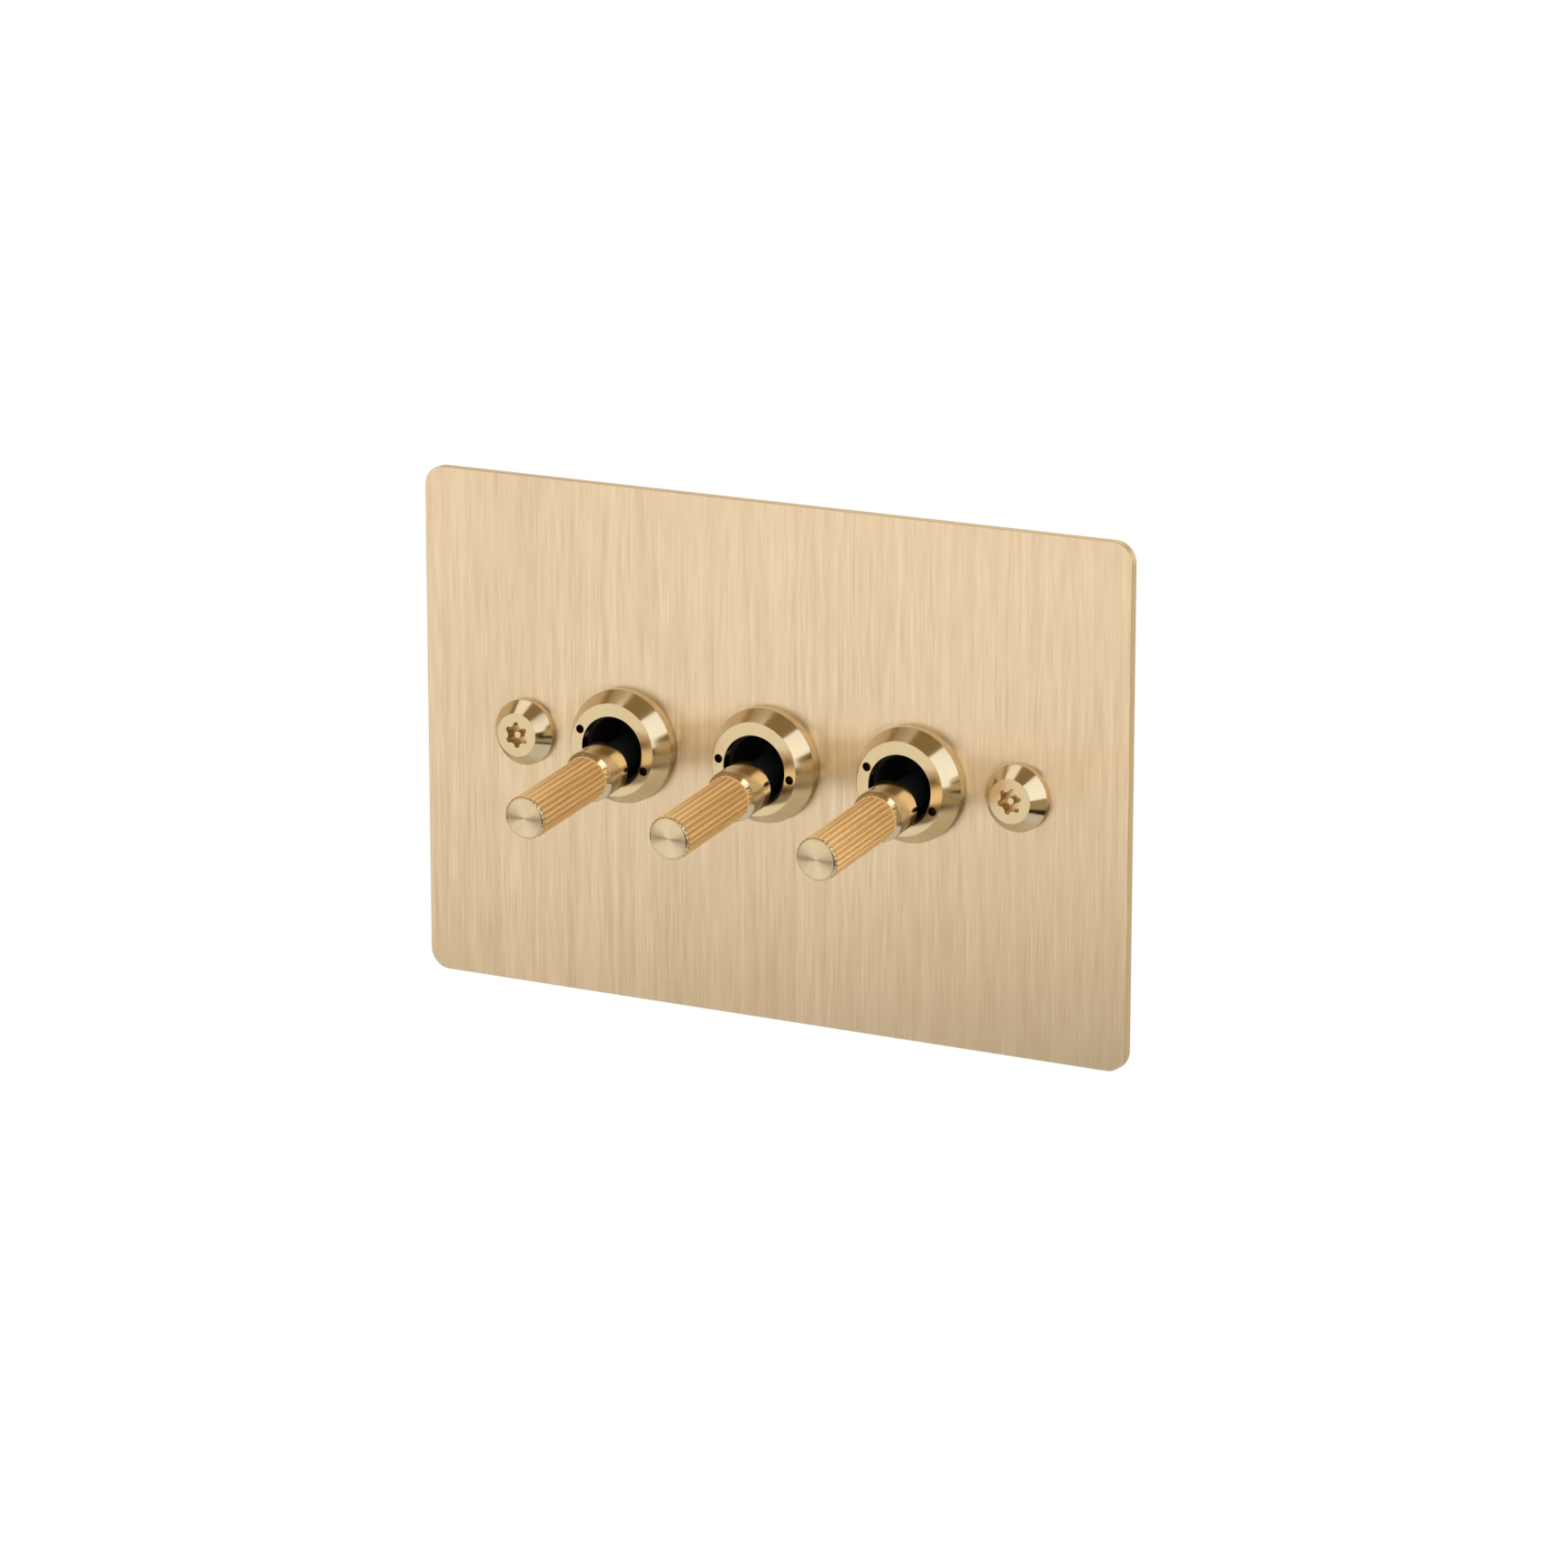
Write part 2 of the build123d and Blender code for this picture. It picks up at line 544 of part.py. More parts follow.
def toggle_knob(gang):
    grip_r = GRIP_DIAMETER / 2
    neck_r = NECK_DIAMETER / 2
    bevel = neck_r - grip_r
    back = (neck_r, knob_back)
    neck_front = (neck_r, grip_start - bevel)
    neck_outline = [
        (0, knob_back),
        *broken((0, knob_back), back, neck_front, NECK_EDGE_BREAK),
        neck_front,
        (grip_r, grip_start),
        (0, grip_start),
    ]
    envelope = [
        (0, grip_start),
        (grip_r, grip_start),
        (grip_r, knob_tip - GRIP_TIP_BEVEL),
        (grip_r - GRIP_TIP_BEVEL, knob_tip),
        (0, knob_tip),
    ]
    section = Circle(grip_r)
    groove_circle = grip_r - FLUTE_DEPTH + FLUTE_DIAMETER / 2
    section -= PolarLocations(groove_circle, FLUTES) * Circle(FLUTE_DIAMETER / 2)
    grip = extrude(Pos(0, 0, grip_start) * section, GRIP_LENGTH)
    knob = turned_z(neck_outline) + (grip & turned_z(envelope))
    socket = (knob_back, knob_back + SPIGOT_LENGTH)
    knob -= rod_z(SPIGOT_DIAMETER / 2 + SPIGOT_CLEARANCE, 0, 0, socket)
    return on_lever(gang, knob)


def toggle_lever(gang):
    lever = rod_z(STEM_DIAMETER / 2, 0, 0, (0, knob_back))
    lever += rod_z(SPIGOT_DIAMETER / 2, 0, 0, (knob_back, knob_back + SPIGOT_LENGTH))
    lever += rod_z(TAIL_DIAMETER / 2, 0, 0, (-TAIL_LENGTH, 0))
    lever += rod_x(HUB_DIAMETER / 2, (-HUB_WIDTH / 2, HUB_WIDTH / 2), 0, 0)
    lever -= rod_x(PIVOT_PIN_DIAMETER / 2 + PIVOT_CLEARANCE, (-HUB_WIDTH, HUB_WIDTH), 0, 0)
    bore = (-TAIL_LENGTH, -TAIL_LENGTH + PLUNGER_BORE_DEPTH)
    lever -= rod_z(PLUNGER_DIAMETER / 2 + PLUNGER_CLEARANCE, 0, 0, bore)
    return on_lever(gang, lever)


def plunger(gang):
    radius = PLUNGER_DIAMETER / 2
    pin = rod_z(radius, 0, 0, (plunger_tip + radius, plunger_tip + PLUNGER_LENGTH))
    pin += Pos(0, 0, plunger_tip + radius) * Sphere(radius)
    return on_lever(gang, pin)


def plunger_spring(gang):
    low = plunger_tip + PLUNGER_LENGTH + SPRING_WIRE / 2 + SPRING_END_GAP
    high = -TAIL_LENGTH + PLUNGER_BORE_DEPTH - SPRING_WIRE / 2 - SPRING_END_GAP
    coil = Helix((high - low) / SPRING_TURNS, high - low, (SPRING_DIAMETER - SPRING_WIRE) / 2)
    wire = sweep(Plane(coil @ 0, z_dir=coil % 0) * Circle(SPRING_WIRE / 2), coil, is_frenet=True)
    return on_lever(gang, Pos(0, 0, low) * wire)


# Every sub-part by its name
parts = {
    "face_plate": face_plate(),
    "mounting_strap": mounting_strap(),
    "fixing_screws": Compound([fixing_screw("left", -1), fixing_screw("right", 1)]),
    "earth_terminal": earth_terminal(),
    "earth_screw": earth_screw(),
}
for gang in GANGS:
    for make in (
        collar,
        bush,
        housing,
        pivot_pin,
        terminal_base,
        case_screws,
        upper_terminal,
        lower_terminal,
        common_terminal,
        terminal_screws,
        rocker_contact,
        toggle_knob,
        toggle_lever,
        plunger,
        plunger_spring,
    ):
        parts[f"{make.__name__}_{gang}"] = make(gang)

os.makedirs("parts", exist_ok=True)
for name, shape in parts.items():
    export_step(shape, f"parts/{name}.step")
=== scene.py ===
from math import acos, cos, pi, radians, sin, tan

import bmesh
import bpy
from mathutils import Matrix, Vector


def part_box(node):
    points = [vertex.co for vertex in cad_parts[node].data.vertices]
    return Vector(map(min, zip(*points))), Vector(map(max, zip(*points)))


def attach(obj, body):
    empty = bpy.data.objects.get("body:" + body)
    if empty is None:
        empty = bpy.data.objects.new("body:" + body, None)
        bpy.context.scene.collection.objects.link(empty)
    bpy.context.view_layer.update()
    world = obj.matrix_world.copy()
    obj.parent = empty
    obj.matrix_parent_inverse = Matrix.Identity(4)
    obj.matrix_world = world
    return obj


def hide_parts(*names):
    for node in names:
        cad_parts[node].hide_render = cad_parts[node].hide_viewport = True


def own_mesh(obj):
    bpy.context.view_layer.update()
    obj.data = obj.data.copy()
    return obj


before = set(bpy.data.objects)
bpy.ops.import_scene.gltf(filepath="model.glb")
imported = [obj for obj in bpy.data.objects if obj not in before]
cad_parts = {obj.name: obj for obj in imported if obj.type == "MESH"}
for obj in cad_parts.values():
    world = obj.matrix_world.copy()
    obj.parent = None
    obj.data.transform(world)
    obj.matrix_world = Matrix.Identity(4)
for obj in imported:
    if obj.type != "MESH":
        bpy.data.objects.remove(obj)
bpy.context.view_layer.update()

# Face plate. A sheet of solid brass, cut to a rectangle with small round corners and brushed from top to
# bottom with an abrasive belt. It is sunk a little at the back for the strap, and pierced for the bushes and
# the screws.
MM = 0.001
PLATE_WIDTH, PLATE_HEIGHT, PLATE_CORNER = 119.5, 79.0, 3.2
PLATE_FRONT, PLATE_BACK, PLATE_RECESS = -1.5, 0.0, -0.5
PLATE_EDGE = 0.15
RECESS_WIDTH, RECESS_HEIGHT, RECESS_CORNER = 98.6, 47.6, 3.3
PITCH = 24.5
GANGS = {"left": -PITCH, "middle": 0.0, "right": PITCH}
SCREW_PLACES = {"left": -42.0, "right": 42.0}
BUSH_HOLE, SCREW_HOLE = 6.1, 2.0


def linear(code):
    """sRGB hex colour as the linear colour that a shader takes."""
    parts = [int(code[i : i + 2], 16) / 255 for i in (1, 3, 5)]
    return (*[p / 12.92 if p <= 0.04045 else ((p + 0.055) / 1.055) ** 2.4 for p in parts], 1.0)


def add(tree, kind, settings=None, inputs=None):
    """A new node with its settings, and its inputs set or linked from a socket or a node's first output."""
    made = tree.nodes.new(kind)
    for name, value in (settings or {}).items():
        setattr(made, name, value)
    for name, value in (inputs or {}).items():
        named = [socket for socket in made.inputs if socket.name == name and socket.enabled]
        socket = named[0] if named else made.inputs[name]
        if isinstance(value, bpy.types.Node):
            value = [output for output in value.outputs if output.enabled][0]
        if isinstance(value, bpy.types.NodeSocket):
            tree.links.new(value, socket)
        else:
            socket.default_value = value
    return made


def finish(name, cells, colours, rough, metallic=1.0, relief=0.0, scratched=None):
    """A material that wanders between two colours and roughnesses over cells of so many millimetres.

    Cells are given along X, Y and Z, and each counts half as much as the one before. relief is the height of
    that pattern in millimetres. scratched names the UV map whose u runs across fine scratches, and says how
    strongly they stretch reflections.
    """
    material = bpy.data.materials.new(name)
    material.use_nodes = True
    tree = material.node_tree
    tree.nodes.clear()
    place = add(tree, "ShaderNodeTexCoord").outputs["Object"]
    total, most = 0.0, 0.0
    for number, cell in enumerate(cells):
        scale = [1 / (size * MM) for size in cell]
        spread = add(tree, "ShaderNodeMapping", inputs={"Vector": place, "Scale": scale})
        noise = add(tree, "ShaderNodeTexNoise", inputs={"Vector": spread, "Scale": 1.0, "Detail": 3.0})
        weighted = {0: noise, 1: 0.5**number, 2: total}
        total = add(tree, "ShaderNodeMath", {"operation": "MULTIPLY_ADD"}, weighted)
        most += 0.5**number
    # The noise seldom leaves its middle third.
    limits = {"From Min": 0.33 * most, "From Max": 0.67 * most}
    share = add(tree, "ShaderNodeMapRange", inputs={"Value": total, **limits})
    tints = {"Factor": share, "A": linear(colours[0]), "B": linear(colours[1])}
    sheen = {"Value": share, "To Min": rough[0], "To Max": rough[1]}
    surface = {
        "Base Color": add(tree, "ShaderNodeMix", {"data_type": "RGBA"}, tints),
        "Metallic": metallic,
        "Roughness": add(tree, "ShaderNodeMapRange", inputs=sheen),
    }
    if relief:
        surface["Normal"] = add(tree, "ShaderNodeBump", inputs={"Distance": relief * MM, "Height": share})
    if scratched:
        uv_map, surface["Anisotropic"] = scratched
        surface["Tangent"] = add(tree, "ShaderNodeTangent", {"direction_type": "UV_MAP", "uv_map": uv_map})
    shader = add(tree, "ShaderNodeBsdfPrincipled", inputs=surface)
    add(tree, "ShaderNodeOutputMaterial", inputs={"Surface": shader})
    return material


def rounded_rectangle(width, height, radius, steps=16):
    """Points (x, z) round a rectangle with round corners."""
    points = []
    for quarter, (side, level) in enumerate(((1, 1), (-1, 1), (-1, -1), (1, -1))):
        x, z = side * (width / 2 - radius), level * (height / 2 - radius)
        for step in range(steps + 1):
            angle = (quarter + step / steps) * pi / 2
            points.append((x + radius * cos(angle), z + radius * sin(angle)))
    return points


def round_line(radius, x=0.0, z=0.0, steps=96):
    """Points (x, z) round a circle."""
    angles = [2 * pi * step / steps for step in range(steps)]
    return [(x + radius * cos(angle), z + radius * sin(angle)) for angle in angles]


def loop(mesh, points, y):
    """A closed row of vertices at depth y, from points (x, z) in millimetres."""
    return [mesh.verts.new((x * MM, y * MM, z * MM)) for x, z in points]


def wall(mesh, first, second, coat=0):
    """Faces between two closed rows with as many vertices."""
    for i in range(len(first)):
        mesh.faces.new((first[i - 1], first[i], second[i], second[i - 1])).material_index = coat


def cover(mesh, *loops, coat=0):
    """Flat faces inside the first row and outside the others."""
    edges = []
    for row in loops:
        for i in range(len(row)):
            ends = (row[i - 1], row[i])
            edges.append(mesh.edges.get(ends) or mesh.edges.new(ends))
    for made in bmesh.ops.triangle_fill(mesh, use_beauty=True, edges=edges)["geom"]:
        if isinstance(made, bmesh.types.BMFace):
            made.material_index = coat


def placed(name, data, materials):
    """An object of finished mesh data."""
    for material in materials:
        data.materials.append(material)
    made = bpy.data.objects.new(name, data)
    bpy.context.scene.collection.objects.link(made)
    return made


def piece(name, mesh, materials, body, stands_for, crease=35.0):
    """A mesh as a piece of its body, smooth but for edges over crease degrees, in place of CAD nodes."""
    # The recalculation can leave a closed mesh inside out, which a volume below zero shows.
    bmesh.ops.recalc_face_normals(mesh, faces=mesh.faces)
    if mesh.calc_volume(signed=True) < 0:
        bmesh.ops.reverse_faces(mesh, faces=mesh.faces)
    data = bpy.data.meshes.new(name)
    mesh.to_mesh(data)
    mesh.free()
    data.shade_smooth()
    data.set_sharp_from_angle(angle=radians(crease))
    made = placed(name, data, materials)
    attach(made, body)
    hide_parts(*stands_for)
    return made


# Brushed brass: fine scratches from top to bottom spread reflections sideways and give a soft, silky sheen.
# The real scratches are under 0.1 mm wide; they are drawn 0.22 mm wide so that they show.
scratches = ((0.22, 0.22, 9.0), (1.3, 1.3, 70.0))
brushed_brass = finish(
    "brushed_brass", scratches, ("#ECD7B6", "#F9E6CA"), (0.39, 0.31), relief=0.0012, scratched=("across", 1.0)
)
# Cut brass: the plate's edges and holes keep the darker, matt surface that the cutter left.
cut_brass = finish("cut_brass", [(0.4, 0.1, 0.4)], ("#B89C70", "#C6AC80"), (0.36, 0.46))

mesh = bmesh.new()
rows = [loop(mesh, rounded_rectangle(PLATE_WIDTH, PLATE_HEIGHT, PLATE_CORNER), PLATE_BACK)]
EDGE_STEPS, CUT_ROWS = 4, 3
for step in range(EDGE_STEPS + 1):
    angle = step / EDGE_STEPS * pi / 2
    inset = PLATE_EDGE * (1 - cos(angle))
    shape = rounded_rectangle(PLATE_WIDTH - 2 * inset, PLATE_HEIGHT - 2 * inset, PLATE_CORNER - inset)
    rows.append(loop(mesh, shape, PLATE_FRONT + PLATE_EDGE * (1 - sin(angle))))
HOLD = 0.03
inset = PLATE_EDGE + HOLD
shape = rounded_rectangle(PLATE_WIDTH - 2 * inset, PLATE_HEIGHT - 2 * inset, PLATE_CORNER - inset)
rows.append(loop(mesh, shape, PLATE_FRONT))
for number, (first, second) in enumerate(zip(rows, rows[1:])):
    wall(mesh, first, second, coat=1 if number < CUT_ROWS else 0)
holes = [(BUSH_HOLE, x) for x in GANGS.values()] + [(SCREW_HOLE, x) for x in SCREW_PLACES.values()]
front_holes = [loop(mesh, round_line(radius, x), PLATE_FRONT) for radius, x in holes]
back_holes = [loop(mesh, round_line(radius, x), PLATE_RECESS) for radius, x in holes]
for first, second in zip(front_holes, back_holes):
    wall(mesh, first, second, coat=1)
cover(mesh, rows[-1], *front_holes)
recess = rounded_rectangle(RECESS_WIDTH, RECESS_HEIGHT, RECESS_CORNER)
recess_mouth, recess_floor = loop(mesh, recess, PLATE_BACK), loop(mesh, recess, PLATE_RECESS)
wall(mesh, recess_mouth, recess_floor, coat=1)
cover(mesh, rows[0], recess_mouth)
cover(mesh, recess_floor, *back_holes, coat=1)
across = mesh.loops.layers.uv.new("across")
for face in mesh.faces:
    for corner in face.loops:
        corner[across].uv = (corner.vert.co.x, corner.vert.co.z)
piece("brushed_plate", mesh, [brushed_brass, cut_brass], "switch_plate", ["face_plate"])

# Mounting strap. Pressed from zinc plated steel sheet, with slots that let the fixing screws find the wall
# box. It lies in the plate's recess and carries the three switches.
FLAT_ANGLE, SHARP_ANGLE = 1, 50


def softened(node, name, material, radius, body):
    """A CAD node's shape with its sharp edges rounded, in place of the node."""
    mesh = bmesh.new()
    mesh.from_mesh(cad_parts[node].data)
    bmesh.ops.remove_doubles(mesh, verts=mesh.verts, dist=1e-6)
    bmesh.ops.dissolve_limit(mesh, angle_limit=radians(FLAT_ANGLE), verts=mesh.verts, edges=mesh.edges)
    joined = [edge for edge in mesh.edges if edge.is_manifold]
    sharp = [edge for edge in joined if edge.calc_face_angle() > radians(SHARP_ANGLE)]
    bmesh.ops.bevel(
        mesh, geom=sharp, offset=radius * MM, segments=2, profile=0.5, affect="EDGES", clamp_overlap=True
    )
    made = piece(name, mesh, [material], body, [node])
    flats = made.modifiers.new("flats", "WEIGHTED_NORMAL")
    flats.keep_sharp = True
    depsgraph = bpy.context.evaluated_depsgraph_get()
    made.data = bpy.data.meshes.new_from_object(made.evaluated_get(depsgraph), depsgraph=depsgraph)
    made.modifiers.remove(flats)


# Zinc plated steel: bright and slightly blue, with the faint cloudy crystals of the plating.
crystals = [(1.6, 1.6, 1.6), (0.3, 0.3, 0.3)]
zinc_steel = finish("zinc_plated_steel", crystals, ("#B4B9BC", "#D3D6D6"), (0.42, 0.28))
softened("mounting_strap", "pressed_strap", zinc_steel, 0.25, "switch_plate")

# Earth terminal. A block sawn from drawn brass bar, riveted to the strap, with a wire hole in its end and a
# slotted steel screw that clamps the wire from the side.

# Drawn brass: yellower than the front, with dull lines from the die along the bar.
drawn_brass = finish("drawn_brass", [(0.25, 2.5, 0.25), (1.5, 1.5, 1.5)], ("#C59D58", "#DDBB7E"), (0.4, 0.24))
softened("earth_terminal", "earth_block", drawn_brass, 0.2, "switch_plate")
softened("earth_screw", "earth_clamp", zinc_steel, 0.12, "switch_plate")

# Bushes. Threaded steel tubes, blackened, that hold each switch to the strap. Their dark mouths show inside
# the collars, around the levers.

# Blackened steel: an oxide film that swallows most light and leaves a dull oily sheen.
black_steel = finish("blackened_steel", [(0.5, 0.5, 0.5)], ("#080706", "#110E0B"), (0.55, 0.7), metallic=0.0)
for gang in GANGS:
    softened(f"bush_{gang}", f"bush_tube_{gang}", black_steel, 0.15, "switch_plate")

# Housings. Moulded boxes of glass-filled nylon, open to the back, with posts for the case screws and bosses
# for the pivot pin. Each is clamped between its bush and the strap.

# Glass-filled nylon: near black and dull, with a fine speckle where fibres reach the skin.
speckle = [(0.35, 0.35, 0.35), (0.12, 0.12, 0.12)]
black_nylon = finish("glass_filled_nylon", speckle, ("#17181A", "#232427"), (0.5, 0.38), 0.0, relief=0.006)
for gang in GANGS:
    softened(f"housing_{gang}", f"moulded_housing_{gang}", black_nylon, 0.4, "switch_plate")

# Collar nuts. Turned from brass bar and polished, with a wide bevel, two holes for a pin spanner and a lip
# that leaves room for the lever. Each screws onto its bush and clamps the plate.
COLLAR_RIM, COLLAR_FACE, COLLAR_HOLE, COLLAR_BORE = 8.75, 7.15, 5.1, 6.03
COLLAR_RIM_HEIGHT, COLLAR_HEIGHT, COLLAR_LIP = 1.6, 4.35, 1.8
SPANNER_HOLE, SPANNER_DEPTH, SPANNER_CIRCLE = 0.68, 1.2, 6.1
SPANNER_TURNS = {"left": 25.7, "middle": 9.0, "right": 26.4}
EASE = 0.12


def eased(outline, radius, steps=4, hold=0.02):
    """An open outline of (radius, y) points, its inner corners rounded, with points that hold the flats."""
    points = [outline[0]]
    for before, corner, after in zip(outline, outline[1:], outline[2:]):
        back = (Vector(before) - Vector(corner)).normalized()
        on = (Vector(after) - Vector(corner)).normalized()
        half = acos(max(-1.0, min(1.0, back @ on))) / 2
        reach = radius / tan(half)
        middle = Vector(corner) + (back + on).normalized() * (radius / sin(half))
        start = Vector(corner) + back * reach - middle
        end = Vector(corner) + on * reach - middle
        points.append(tuple(middle + start + back * hold))
        for step in range(steps + 1):
            points.append(tuple(middle + start.lerp(end, step / steps).normalized() * radius))
        points.append(tuple(middle + end + on * hold))
    points.append(outline[-1])
    return points


def turned(mesh, outline, x=0.0, steps=192):
    """Rows of a turned surface about a line along Y, from an outline of (radius, y) points."""
    rows = [loop(mesh, round_line(radius, x, steps=steps), y) for radius, y in outline]
    for first, second in zip(rows, rows[1:]):
        wall(mesh, first, second)
    return rows


# Polished brass: buffed until it mirrors, with only faint haze where it was last wiped.
polished_brass = finish("polished_brass", [(4.0, 4.0, 4.0)], ("#C9B795", "#CFBD9B"), (0.13, 0.18))
# Tooled brass: drilled holes stay rough inside, and their dark brown colour is painted shade, so that they
# look deep.
drilled_brass_painted_shade = finish("drilled_brass_painted_shade", [(0.2, 0.2, 0.2)], ("#4A3518", "#5C4524"), (0.4, 0.55))

face_y = PLATE_FRONT - COLLAR_HEIGHT
outside = [
    (COLLAR_BORE, PLATE_FRONT),
    (COLLAR_RIM, PLATE_FRONT),
    (COLLAR_RIM, PLATE_FRONT - COLLAR_RIM_HEIGHT),
    (COLLAR_FACE, face_y),
    (COLLAR_FACE - 3 * EASE, face_y),
]
inside = [
    (COLLAR_HOLE + 2 * EASE, face_y),
    (COLLAR_HOLE, face_y),
    (COLLAR_HOLE, face_y + COLLAR_LIP),
    (COLLAR_BORE, face_y + COLLAR_LIP),
    (COLLAR_BORE, PLATE_FRONT),
]
for gang, x in GANGS.items():
    mesh = bmesh.new()
    outer = turned(mesh, eased(outside, EASE), x)
    inner = turned(mesh, eased(inside, EASE), x)
    mouths = []
    for turn in (0, 180):
        angle = radians(turn - SPANNER_TURNS[gang])
        line = round_line(SPANNER_HOLE, x + SPANNER_CIRCLE * cos(angle), SPANNER_CIRCLE * sin(angle), 32)
        mouth, floor = loop(mesh, line, face_y), loop(mesh, line, face_y + SPANNER_DEPTH)
        # The spanner holes' walls and floors take the dark brass: painted shade.
        wall(mesh, mouth, floor, coat=1)
        cover(mesh, floor, coat=1)
        mouths.append(mouth)
    cover(mesh, outer[-1], inner[0], *mouths)
    bmesh.ops.remove_doubles(mesh, verts=mesh.verts, dist=1e-7)
    coats = [polished_brass, drilled_brass_painted_shade]
    piece(f"collar_nut_{gang}", mesh, coats, "switch_plate", [f"collar_{gang}"])

# Pivot pins and levers. Each steel pin goes through the housing and through the hub of a black nylon lever,
# which keeps the brass knob away from the live parts.
for gang in GANGS:
    softened(f"pivot_pin_{gang}", f"steel_pin_{gang}", zinc_steel, 0.15, "switch_plate")
    softened(f"toggle_lever_{gang}", f"nylon_lever_{gang}", black_nylon, 0.2, f"toggle_{gang}")

# Plungers and springs. A wound steel spring in the lever's tail pushes a round-nosed plunger of white
# acetal, which snaps the contacts over. In the real switch the spring shortens as the plunger slides in; here
# it keeps one length.
TILT, PIVOT = 7.2, 8.5
SPRING_START, SPRING_END = -5.77, -2.43
SPRING_RADIUS, SPRING_WIRE, SPRING_TURNS = 1.25, 0.2, 4.0


def node_tree(name, sizes):
    """A geometry node tree with geometry in and out, named sizes and a finish, and the tree's inputs."""
    tree = bpy.data.node_groups.new(name, "GeometryNodeTree")
    sockets = {"Geometry": "Geometry", **sizes, "Finish": "Material"}
    for label, kind in sockets.items():
        tree.interface.new_socket(label, in_out="INPUT", socket_type=f"NodeSocket{kind}")
    tree.interface.new_socket("Geometry", in_out="OUTPUT", socket_type="NodeSocketGeometry")
    return tree, add(tree, "NodeGroupInput").outputs


def coat_and_end(tree, given, geometry, weld=0.0):
    """A tree's end: instances made real, doubles closer than weld millimetres merged, the finish put on."""
    whole = add(tree, "GeometryNodeRealizeInstances", inputs={"Geometry": geometry})
    if weld:
        whole = add(tree, "GeometryNodeMergeByDistance", inputs={"Geometry": whole, "Distance": weld * MM})
    coated = add(tree, "GeometryNodeSetMaterial", inputs={"Geometry": whole, "Material": given["Finish"]})
    add(tree, "NodeGroupOutput", inputs={"Geometry": coated})


def grown(tree, sizes, data=None):
    """The plain mesh that a node tree makes from its named sizes, and from a mesh where it takes one."""
    seed = bpy.data.objects.new("seed", data or bpy.data.meshes.new("seed"))
    bpy.context.scene.collection.objects.link(seed)
    growth = seed.modifiers.new("growth", "NODES")
    growth.node_group = tree
    for item in tree.interface.items_tree:
        if item.in_out == "INPUT" and item.name in sizes:
            growth[item.identifier] = sizes[item.name]
    depsgraph = bpy.context.evaluated_depsgraph_get()
    result = bpy.data.meshes.new_from_object(seed.evaluated_get(depsgraph), depsgraph=depsgraph)
    seed.modifiers.clear()
    bpy.data.objects.remove(seed)
    result.materials.clear()
    return result


def on_lever(x):
    """From a lever's own frame, with +Z along it to its tip, to its place in the switch."""
    return Matrix.Translation((x * MM, PIVOT * MM, 0)) @ Matrix.Rotation(radians(90 + TILT), 4, "X")


# The wire follows a helix.
lengths = {"Radius": "Float", "Wire": "Float", "Height": "Float", "Turns": "Float"}
spring_tree, given = node_tree("wound_spring", lengths)
coil = {
    "Resolution": 48,
    "Rotations": given["Turns"],
    "Height": given["Height"],
    "Start Radius": given["Radius"],
    "End Radius": given["Radius"],
}
helix = add(spring_tree, "GeometryNodeCurveSpiral", inputs=coil)
gauge = {"Resolution": 12, "Radius": given["Wire"]}
wire = add(spring_tree, "GeometryNodeCurvePrimitiveCircle", inputs=gauge)
coiled = {"Curve": helix, "Profile Curve": wire, "Fill Caps": True}
coat_and_end(spring_tree, given, add(spring_tree, "GeometryNodeCurveToMesh", inputs=coiled))

# Acetal: milky white and waxy, so that its shine is soft.
acetal = finish("white_acetal", [(0.8, 0.8, 0.8)], ("#E2DFD8", "#EEEBE5"), (0.34, 0.42), 0.0)
# Spring steel: drawn wire with a grey, slightly oily shine.
spring_steel = finish("spring_steel", [(0.3, 0.3, 0.3)], ("#8F9294", "#A9ACAD"), (0.28, 0.36))
sizes = {
    "Radius": SPRING_RADIUS * MM,
    "Wire": SPRING_WIRE * MM,
    "Height": (SPRING_END - SPRING_START) * MM,
    "Turns": SPRING_TURNS,
    "Finish": spring_steel,
}
spring = grown(spring_tree, sizes)
for gang, x in GANGS.items():
    softened(f"plunger_{gang}", f"acetal_plunger_{gang}", acetal, 0.1, f"plunger_{gang}")
    mesh = bmesh.new()
    mesh.from_mesh(spring)
    mesh.transform(on_lever(x) @ Matrix.Translation((0, 0, SPRING_START * MM)))
    stands_for = [f"plunger_spring_{gang}"]
    wound = piece(f"wound_spring_{gang}", mesh, [spring_steel], f"toggle_{gang}", stands_for)
    along = on_lever(x).to_3x3() @ Vector((0, 0, 1))
    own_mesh(wound)

# Toggle knobs. Turned from brass bar: a smooth polished neck, straight flutes cut along the grip for the
# fingers, and a tip faced on the lathe, whose fine rings spread light into sectors. Each is pushed onto its
# lever.
KNOB_BACK, GRIP_START, KNOB_TIP = 16.4, 21.8, 39.8
NECK, GRIP, TIP_BEVEL, TIP_STEPS = 4.0, 3.4, 0.5, 6
FLUTES, FLUTE_DEPTH, FLUTE_STEPS = 24, 0.22, 16
SPIGOT, SPIGOT_DEPTH = 2.02, 10.0
STEP = 0.02

# One flute's strip of the knob, from its socket to the middle of its tip, is repeated round the knob's axis.
flute_tree, given = node_tree("flutes_round_knob", {"Count": "Int"})
points = add(flute_tree, "GeometryNodeMeshLine", inputs={"Count": given["Count"], "Offset": (0, 0, 0)})
step = add(flute_tree, "ShaderNodeMath", {"operation": "DIVIDE"}, {0: 2 * pi, 1: given["Count"]})
number = add(flute_tree, "GeometryNodeInputIndex")
turn = add(flute_tree, "ShaderNodeMath", {"operation": "MULTIPLY"}, {0: number, 1: step})
angles = add(flute_tree, "ShaderNodeCombineXYZ", inputs={"Z": turn})
rotation = add(flute_tree, "FunctionNodeEulerToRotation", inputs={"Euler": angles})
around = {"Points": points, "Instance": given["Geometry"], "Rotation": rotation}
